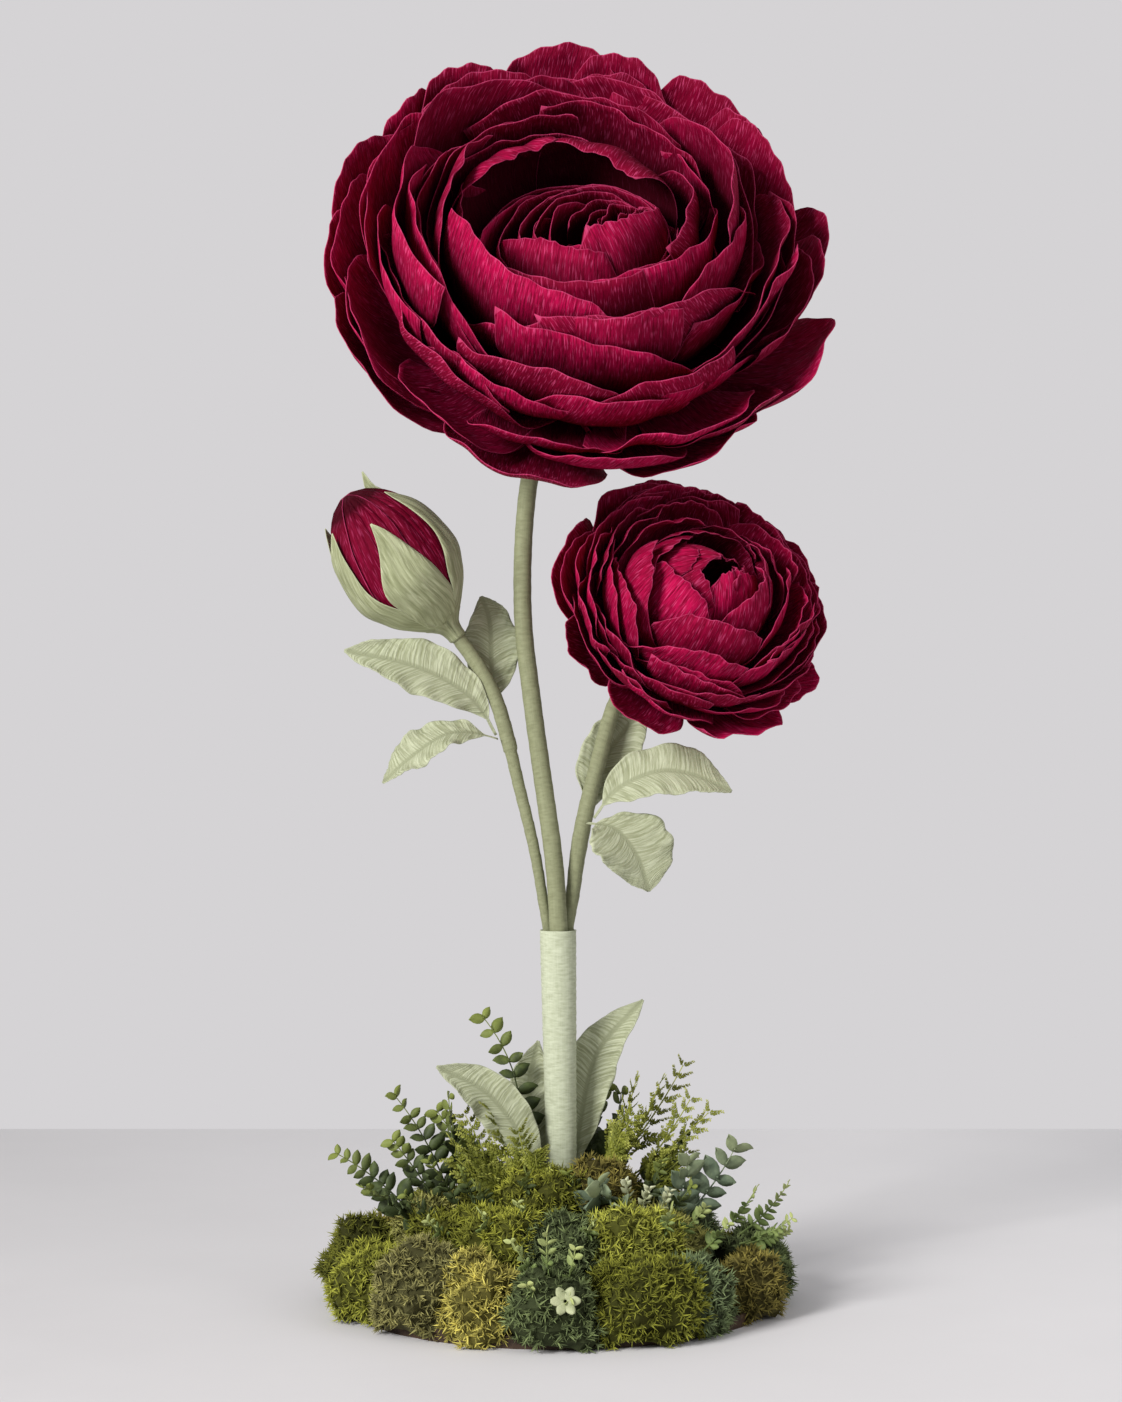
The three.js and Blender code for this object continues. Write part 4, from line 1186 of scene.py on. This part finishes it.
# Lump colours, radius of the ring, depth and height of a lump, its foot, and twigs to a square metre
MOSS_RINGS = {
    "moss_outer": (OUTER, 189, 44, 72, 3.0, 28000.0),
    "moss_middle": (MIDDLE, 122, 37, 58, 50.0, 32000.0),
    "moss_top": (TOP, 57, 31, 44, 95.0, 36000.0),
}
moss = []
for number, (node, (tints, ring_radius, depth, height, foot, density)) in enumerate(MOSS_RINGS.items()):
    half = len(tints) // 2
    for side, shown in (("front", range(half + 1)), ("back", range(half + 1, len(tints)))):
        domes = lumps_mesh("domes", tints, shown, ring_radius, depth, height, foot, 60 + number)
        mesh = moss_cushion.grow(f"{node}_{side}", domes, Twig=twig, Density=density, Small=0.6, Large=1.5,
                                 Bumps=55 * MM, Seed=number, Material=MOSS)
        keep_off_floor(mesh)
        moss.append(piece(mesh, None, "moss", node))
        print(node, side, triangles(moss[-1:]), "triangles")
bpy.data.objects.remove(twig)

# %% [markdown]
# ## Greenery
# Sprigs stand in the moss: stalks with pairs of small leaves, and ferns, which are stalks whose
# side shoots are small sprigs themselves. One tree makes both. It sweeps the stalk, puts a leaf
# on each side at even steps, turns each pair a little further round, and shrinks the leaves
# towards the tip.

# %% Sprig finish and leaf
def sprig_finish(name, deep, plain, young):
    finish = Finish(name, Specular_IOR_Level=0.3, Roughness=0.6)
    place = finish.object_place()
    mottle = finish.noise(place, 90.0, 3.0)
    body = finish.mix(finish.between(mottle, 0.3, 0.65), deep, plain)
    body = finish.mix(finish.between(finish.attribute("young") + mottle * 0.3, 0.75, 1.2), body, young)
    finish.feed("Base Color", body)
    finish.bump(finish.noise(place, 600.0, 2.0), 0.25, 0.8 * MM)
    return finish.material


EUCALYPT = sprig_finish("dark_sprig", colour(50, 60, 34), colour(78, 90, 50), colour(126, 136, 64))
GREY_LEAF = sprig_finish("grey_sprig", colour(84, 98, 78), colour(116, 130, 104), colour(148, 158, 118))
FERN = sprig_finish("fern_leaf", colour(92, 98, 30), colour(134, 138, 50), colour(176, 178, 86))
HERB = sprig_finish("herb_leaf", colour(88, 106, 54), colour(128, 144, 82), colour(178, 186, 118))
LICHEN = sprig_finish("pale_lichen", colour(150, 156, 116), colour(186, 190, 150), colour(212, 214, 178))


def leaf_object(name, length, width, rows=6, columns=3, curl=0.22):
    """A small leaf along +Z from the origin that faces +X, as a closed sheet."""
    s, v = np.meshgrid(np.linspace(-1, 1, columns), np.linspace(0, 1, rows))
    half = 0.5 * width * np.maximum(0.06, np.sin(math.pi * np.clip(0.04 + 0.96 * v, 0, 1)) ** 0.7)
    grid = np.stack([curl * width * (s * s * 0.6 - v * v), s * half, v * length], -1)
    return placed(name, sheets_mesh(name, [sheet_arrays(grid, 0.5)]))


print("made", [material.name for material in (EUCALYPT, GREY_LEAF, FERN, HERB, LICHEN)])

# %% Sprig tree
BARE_STALK = 0.22  # share of a stalk below its first leaves
STALK_SIDES = 5


def sprig_tree():
    """Sweeps stalks and sets pairs of leaves on them that shrink towards the tip."""
    tree = Grower("leafy_sprig", Leaf="Object", Pairs="Int", Spread="Float", Turn="Float", Twist="Float",
                  Tip="Float", Seed="Int", Material="Material")
    line = tree.node("GeometryNodeMeshToCurve", sockets={0: tree.given()})
    line = tree.store(line, "young", tree.node("GeometryNodeSplineParameter"))
    stalk = tree.swept(line, STALK_SIDES)
    upper = tree.node("GeometryNodeTrimCurve", sockets={0: line, 2: BARE_STALK, 3: 1.0})
    spots = tree.node("GeometryNodeCurveToPoints", sockets={0: upper, "Count": tree.given("Pairs")})
    aligned = tree.node("FunctionNodeAxesToRotation", {"primary_axis": "Z", "secondary_axis": "X"},
                        {0: spots.output(1), 1: spots.output(2)})
    leaf = tree.node("GeometryNodeObjectInfo", sockets={0: tree.given("Leaf")}, out=4)
    order = tree.node("GeometryNodeInputIndex")
    seed = tree.given("Seed")
    old = 1 - tree.named("young")
    grown = tree.given("Tip") + old * (1 - tree.given("Tip"))
    sides = []
    for number, opposite in enumerate((0.0, math.pi)):
        wander = tree.random(-0.4, 0.4, seed + 10 + number)
        about = order * tree.given("Twist") + tree.given("Turn") + opposite + wander
        lean = tree.given("Spread") * tree.random(0.75, 1.2, seed + 20 + number)
        roll = math.pi / 2 + tree.random(-0.5, 0.5, seed + 40 + number)
        turned = aligned
        for axis, angle in ((2, about), (1, lean), (2, roll)):
            turned = tree.rotated(turned, tree.node("ShaderNodeCombineXYZ", sockets={axis: angle}))
        size = grown * tree.random(0.8, 1.15, seed + 30 + number)
        sides.append(tree.node("GeometryNodeInstanceOnPoints",
                               sockets={0: spots, "Instance": leaf, "Rotation": turned, "Scale": size}))
    tree.end(tree.node("GeometryNodeJoinGeometry", sockets={0: [stalk, *sides]}))
    return tree


leafy_sprig = sprig_tree()
print("leafy_sprig inputs:", list(leafy_sprig.keys))

# %% Sprig groups
round_leaf = leaf_object("round_leaf_blade", 27 * MM, 17 * MM)
broad_leaf = leaf_object("broad_leaf_blade", 27 * MM, 23 * MM)
oval_leaf = leaf_object("oval_leaf_blade", 28 * MM, 17 * MM)
small_leaf = leaf_object("small_leaf_blade", 14 * MM, 7.5 * MM)
tiny_leaf = leaf_object("tiny_leaf_blade", 10 * MM, 6 * MM, 3)


def arc(foot, lean, bend, count):
    """Points in millimetres from a foot along a lean that bows sideways by a share of its length."""
    start = np.array(foot, float)
    way = np.array(lean, float)
    side = np.cross(way, (0, -1, 0)) * bend
    v = np.linspace(-0.08, 1, count)[:, None]
    return start + way * v + side * v * (1 - v)


def sprig_mesh(name, arcs, thick, leaf, pairs, spread, turn, twist, tip, material, seed, count=16):
    """One mesh of several sprigs of a kind."""
    points = np.concatenate([arc(*shape, count) for shape in arcs])
    girth = np.tile(np.linspace(thick, 0.4 * thick, count), len(arcs)) * MM
    source = path_mesh(points * MM, girth, len(arcs))
    return leafy_sprig.grow(name, source, Leaf=leaf, Pairs=pairs, Spread=spread, Turn=turn, Twist=twist,
                            Tip=tip, Seed=seed, Material=material)


FROND_ARC = ((0, 0, 0), (0, 0, 32), 0.1)
frond_source = sprig_mesh("frond", [FROND_ARC], 0.5, tiny_leaf, 8, 0.9, 0, 0.05, 0.5, FERN, 0, 6)
frond = placed("frond", frond_source)

# Foot, lean and bow of each sprig in a group, then its leaf, pairs, spread, the turn of its first pair,
# the twist from pair to pair, the size at its tip and its finish. SIDE turns the leaves to the viewer
# on a stalk that leans sideways.
SIDE = math.pi / 2
STALK_RADIUS = 1.2
SPRIGS = {
    "sprig_tall_left": ([((-44, 4, 136), (-30, 2, 146), 0.5)],
                        round_leaf, 9, 1.3, SIDE, 0.05, 0.6, EUCALYPT),
    "sprig_back_left": ([((-108, 30, 93), (-56, 4, 106), 0.2), ((-92, 20, 100), (-18, 0, 100), -0.15),
                         ((-78, 30, 110), (-44, 6, 74), 0.1), ((-70, 6, 112), (-26, -6, 56), 0.1)],
                        round_leaf, 9, 1.2, SIDE, 0.12, 0.5, EUCALYPT),
    "sprig_low_left": ([((-142, -20, 87), (-76, -6, 64), 0.2), ((-132, -40, 84), (-58, -20, 40), 0.15),
                        ((-120, -6, 96), (-44, -8, 66), 0.1)],
                       round_leaf, 9, 1.2, SIDE, 0.12, 0.45, EUCALYPT),
    "sprig_fern_right": ([((62, 26, 136), (64, 0, 96), 0.1), ((50, 20, 128), (28, 0, 88), 0.05),
                          ((70, 6, 122), (80, -6, 66), 0.12), ((44, 6, 126), (30, -12, 58), 0.0),
                          ((84, 0, 110), (44, -12, 40), 0.1), ((56, 14, 122), (46, -4, 94), 0.1),
                          ((74, 14, 116), (58, -8, 84), 0.1), ((40, -10, 118), (22, -16, 52), 0.1)],
                         frond, 8, 0.85, SIDE, 0.1, 0.45, FERN),
    "sprig_low_right": ([((128, -24, 91), (46, -4, 64), 0.15), ((112, -34, 88), (16, -10, 56), 0.1)],
                        oval_leaf, 5, 1.05, SIDE, 0.15, 0.75, GREY_LEAF),
    "sprig_edge_right": ([((184, -36, 77), (43, -4, 48), 0.2), ((182, -60, 70), (46, -12, 26), 0.2),
                          ((190, -20, 62), (38, -6, 14), 0.1), ((168, -50, 84), (26, -14, 40), 0.1)],
                         small_leaf, 9, 1.1, SIDE, 0.15, 0.5, HERB),
    "fern_left": ([((-40, -10, 122), (-28, -10, 74), 0.1), ((-50, -20, 115), (-52, -14, 46), 0.15),
                   ((-28, -30, 116), (-10, -16, 58), 0.05), ((-62, -6, 115), (-30, -6, 72), 0.1),
                   ((-44, -44, 108), (-30, -22, 30), 0.1), ((-20, -40, 112), (-2, -22, 44), 0.05),
                   ((-58, -36, 106), (-42, -22, 46), 0.1)], frond, 8, 0.85, SIDE, 0.1, 0.45, FERN),
    "leaves_behind": ([((28, 30, 124), (20, 6, 84), -0.1), ((46, 36, 118), (18, 8, 84), 0.1),
                       ((88, 20, 104), (40, 4, 60), 0.15), ((10, 44, 118), (-6, 10, 60), 0.1)],
                      round_leaf, 8, 1.0, SIDE, 0.35, 0.5, EUCALYPT),
    "rosette": ([((40, -74, 106), (0, -26, 26), 0.0), ((56, -78, 98), (10, -26, 12), 0.0)],
                broad_leaf, 4, 1.1, 0, 1.3, 0.7, GREY_LEAF),
    "lichen": ([((70, -66, 98), (-4, -14, 34), 0.1), ((80, -68, 94), (8, -16, 32), -0.1),
                ((92, -64, 92), (16, -12, 30), 0.1)], tiny_leaf, 9, 0.8, 0, 1.3, 0.8, LICHEN),
    "front_herb": ([((-14, -196, 40), (-28, -18, 60), 0.1), ((-6, -200, 42), (-4, -22, 66), -0.1),
                    ((2, -200, 40), (14, -20, 54), 0.1), ((-10, -206, 34), (-18, -24, 30), 0.0),
                    ((0, -208, 30), (10, -24, 22), 0.0)], small_leaf, 7, 1.0, 0, 0.6, 0.7, HERB),
    "dark_herbs": ([((-96, -30, 96), (-30, -22, 52), 0.1), ((-80, -48, 94), (-14, -26, 50), 0.1),
                    ((-112, -52, 80), (-36, -26, 40), 0.1), ((-60, -62, 96), (-20, -26, 36), 0.1),
                    ((-34, -64, 102), (4, -24, 40), 0.1), ((86, -30, 104), (16, -22, 44), 0.1),
                    ((100, -52, 88), (30, -24, 40), 0.1), ((20, -56, 110), (-10, -22, 30), 0.1)],
                   small_leaf, 8, 1.0, 0, 0.6, 0.6, EUCALYPT),
    "mound_leaves": ([((95, -95, 72), (14, -20, 40), 0.1), ((112, -80, 76), (30, -14, 34), 0.1),
                      ((-104, -96, 72), (-20, -24, 30), 0.1), ((-62, -110, 76), (-10, -26, 36), 0.0),
                      ((24, -120, 74), (8, -28, 32), 0.0), ((-30, -100, 84), (-8, -26, 36), 0.1),
                      ((140, -76, 64), (24, -16, 30), 0.1)], small_leaf, 8, 1.0, 0, 0.6, 0.6, HERB),
}
sprigs = []
for number, (name, (arcs, blade, *terms)) in enumerate(SPRIGS.items()):
    mesh = sprig_mesh(f"leafy_{name}", arcs, STALK_RADIUS, blade, *terms, number)
    nodes = [name] if name.startswith("sprig") else []
    sprigs.append(piece(mesh, None, "sprig_leaf", *nodes))
print("sprigs:", triangles(sprigs), "triangles")
for spare in (round_leaf, broad_leaf, oval_leaf, small_leaf, tiny_leaf, frond):
    bpy.data.objects.remove(spare)

# %% A small pale flower in front
FLOWER_STANDING = standing((7, -235, 50), (0.1, -0.92, 0.4))


def flower_petal(k):
    """Middle surface of one petal of the small flower around +Z, in millimetres."""
    s, v = np.meshgrid(np.linspace(-1, 1, 7), np.linspace(0, 1, 9))
    half = 4.6 * np.maximum(0.1, np.sin(math.pi * (0.05 + 0.9 * v)) ** 0.7)
    turn = k * math.pi / 3
    out = 1.5 + 12.5 * v
    side = s * half
    rise = 3 * v - 1.5 * s * s * v
    x = out * math.cos(turn) - side * math.sin(turn)
    y = out * math.sin(turn) + side * math.cos(turn)
    return np.stack([x, y, rise], -1)


petals = [sheet_arrays(put(FLOWER_STANDING, flower_petal(k)), 0.5) for k in range(6)]
flower = piece(sheets_mesh("small_flower", petals), LICHEN, "sprig_leaf")
print("flower:", triangles([flower]), "triangles")

# %% [markdown]
# ## Base
# The board, the flange and the foam keep the shape of their solids, because little of them
# shows between the lumps. They get finishes of their own: stained board, steel and green foam.

# %% Board, foam and flange
def grained(name, stretch, detail, span, dark, light, rough, bump, **constants):
    """A plain finish whose colour, gloss and relief follow one stretched noise."""
    finish = Finish(name, **constants)
    grain = finish.noise(finish.stretched(finish.object_place(), stretch), 1.0, detail)
    finish.feed("Base Color", finish.mix(finish.between(grain, *span), dark, light))
    finish.feed("Roughness", finish.between(grain, 0.3, 0.7, *rough))
    finish.bump(grain, *bump)
    return finish.material


BOARD = grained("stained_board", (9.0, 120.0, 120.0), 4.0, (0.35, 0.7), colour(46, 34, 26),
                colour(78, 58, 42), (0.75, 0.55), (0.3, 0.6 * MM), Specular_IOR_Level=0.3)
FOAM = grained("dry_foam", (700.0, 700.0, 700.0), 2.0, (0.35, 0.65), colour(38, 46, 26),
               colour(66, 76, 44), (1.0, 0.85), (0.6, 1 * MM), Specular_IOR_Level=0.1)
STEEL = grained("flange_steel", (40.0, 40.0, 900.0), 3.0, (0.3, 0.7), colour(120, 123, 126),
                colour(160, 163, 166), (0.35, 0.55), (0.15, 0.3 * MM), Metallic=1.0)
KEPT = {"base_board": BOARD, "floor_flange": STEEL, "foam_lower": FOAM, "foam_upper": FOAM}
for node, material in KEPT.items():
    solid = bpy.data.objects[node]
    solid.data.materials.clear()
    solid.data.materials.append(material)
print("kept solids:", list(KEPT))

# %% [markdown]
# ## Stage, light and camera
# The floor is a pale sheet that ends where the wall begins in the photograph. The wall is the
# world's colour, seen only by the camera and by reflections, so it never hides the flower from
# behind. One soft lamp stands in front at the left, and a weaker one fills from the right.

# %% Floor
FLOOR_BACK = 1.125
FLOOR_SIDE = 4.0
FLOOR_FRONT = -4.0


def floor_finish():
    finish = Finish("pale_floor", Specular_IOR_Level=0.2, Roughness=0.7)
    place = finish.object_place()
    cloud = finish.noise(place, 3.0, 6.0)
    spot = finish.split(place)
    # Painted light: the floor is lighter to the right and at the back, evening out the shade that the lamp
    # at the left leaves there, and a faint cloud mottles it.
    far = spot * 0.33 + spot.output(1) * 0.2 + (cloud - 0.5) * 0.12
    body = finish.mix(finish.between(far, -0.25, 0.4), colour(205, 202, 202), colour(254, 251, 251))
    finish.feed("Base Color", body)
    return finish.material


floor_mesh = bpy.data.meshes.new("floor")
floor_corners = [(-FLOOR_SIDE, FLOOR_FRONT, 0), (FLOOR_SIDE, FLOOR_FRONT, 0),
                 (FLOOR_SIDE, FLOOR_BACK, 0), (-FLOOR_SIDE, FLOOR_BACK, 0)]
floor_mesh.from_pydata(floor_corners, [], [(0, 1, 2, 3)])
floor_mesh.materials.append(floor_finish())
floor = placed("floor", floor_mesh)
print("floor ends", FLOOR_BACK, "metres behind the trunk")

# %% World and lamps
WALL = colour(213, 211, 213)
AMBIENT = (0.86, 0.87, 0.9, 1)
AMBIENT_STRENGTH = 0.44
LAMP_TARGET = Vector((0, 0, 0.7))

world = bpy.data.worlds.new("studio")
bpy.context.scene.world = world
world.use_nodes = True
sky = NodeTree(world.node_tree)
rays = sky.node("ShaderNodeLightPath")
seen = rays + rays.output(3) + rays.output(6)
soft = sky.node("ShaderNodeBackground", sockets={0: AMBIENT, 1: AMBIENT_STRENGTH})
wall = sky.node("ShaderNodeBackground", sockets={0: WALL, 1: 1.0})
both = sky.node("ShaderNodeMixShader", sockets={0: seen, 1: soft, 2: wall})
world.node_tree.links.new(both.socket, world.node_tree.nodes["World Output"].inputs["Surface"])


def lamp(name, place, size, watts):
    """A square lamp of a size in metres that shines at the target."""
    data = bpy.data.lights.new(name, "AREA")
    data.size = size
    data.energy = watts
    made = placed(name, data)
    made.location = place
    made.rotation_euler = (LAMP_TARGET - Vector(place)).to_track_quat("-Z", "Y").to_euler()


lamp("key", (-2.2, -2.5, 1.95), size=1.2, watts=152)
lamp("fill", (2.4, -1.6, 1.8), size=1.6, watts=14)
print("lamps: key and fill")

# %% Camera
CAMERA = (0.003, -2.8, 0.6)
FRAME_HEIGHT = 1.402
SENSOR = 36.0

lens = bpy.data.cameras.new("front")
lens.sensor_width = SENSOR
lens.lens = SENSOR * -CAMERA[1] / FRAME_HEIGHT
camera = placed("front", lens)
camera.location = CAMERA
camera.rotation_euler = (math.pi / 2, 0, 0)
bpy.context.scene.camera = camera
bpy.context.scene.view_settings.view_transform = "Standard"
print("lens", round(lens.lens, 1), "mm")
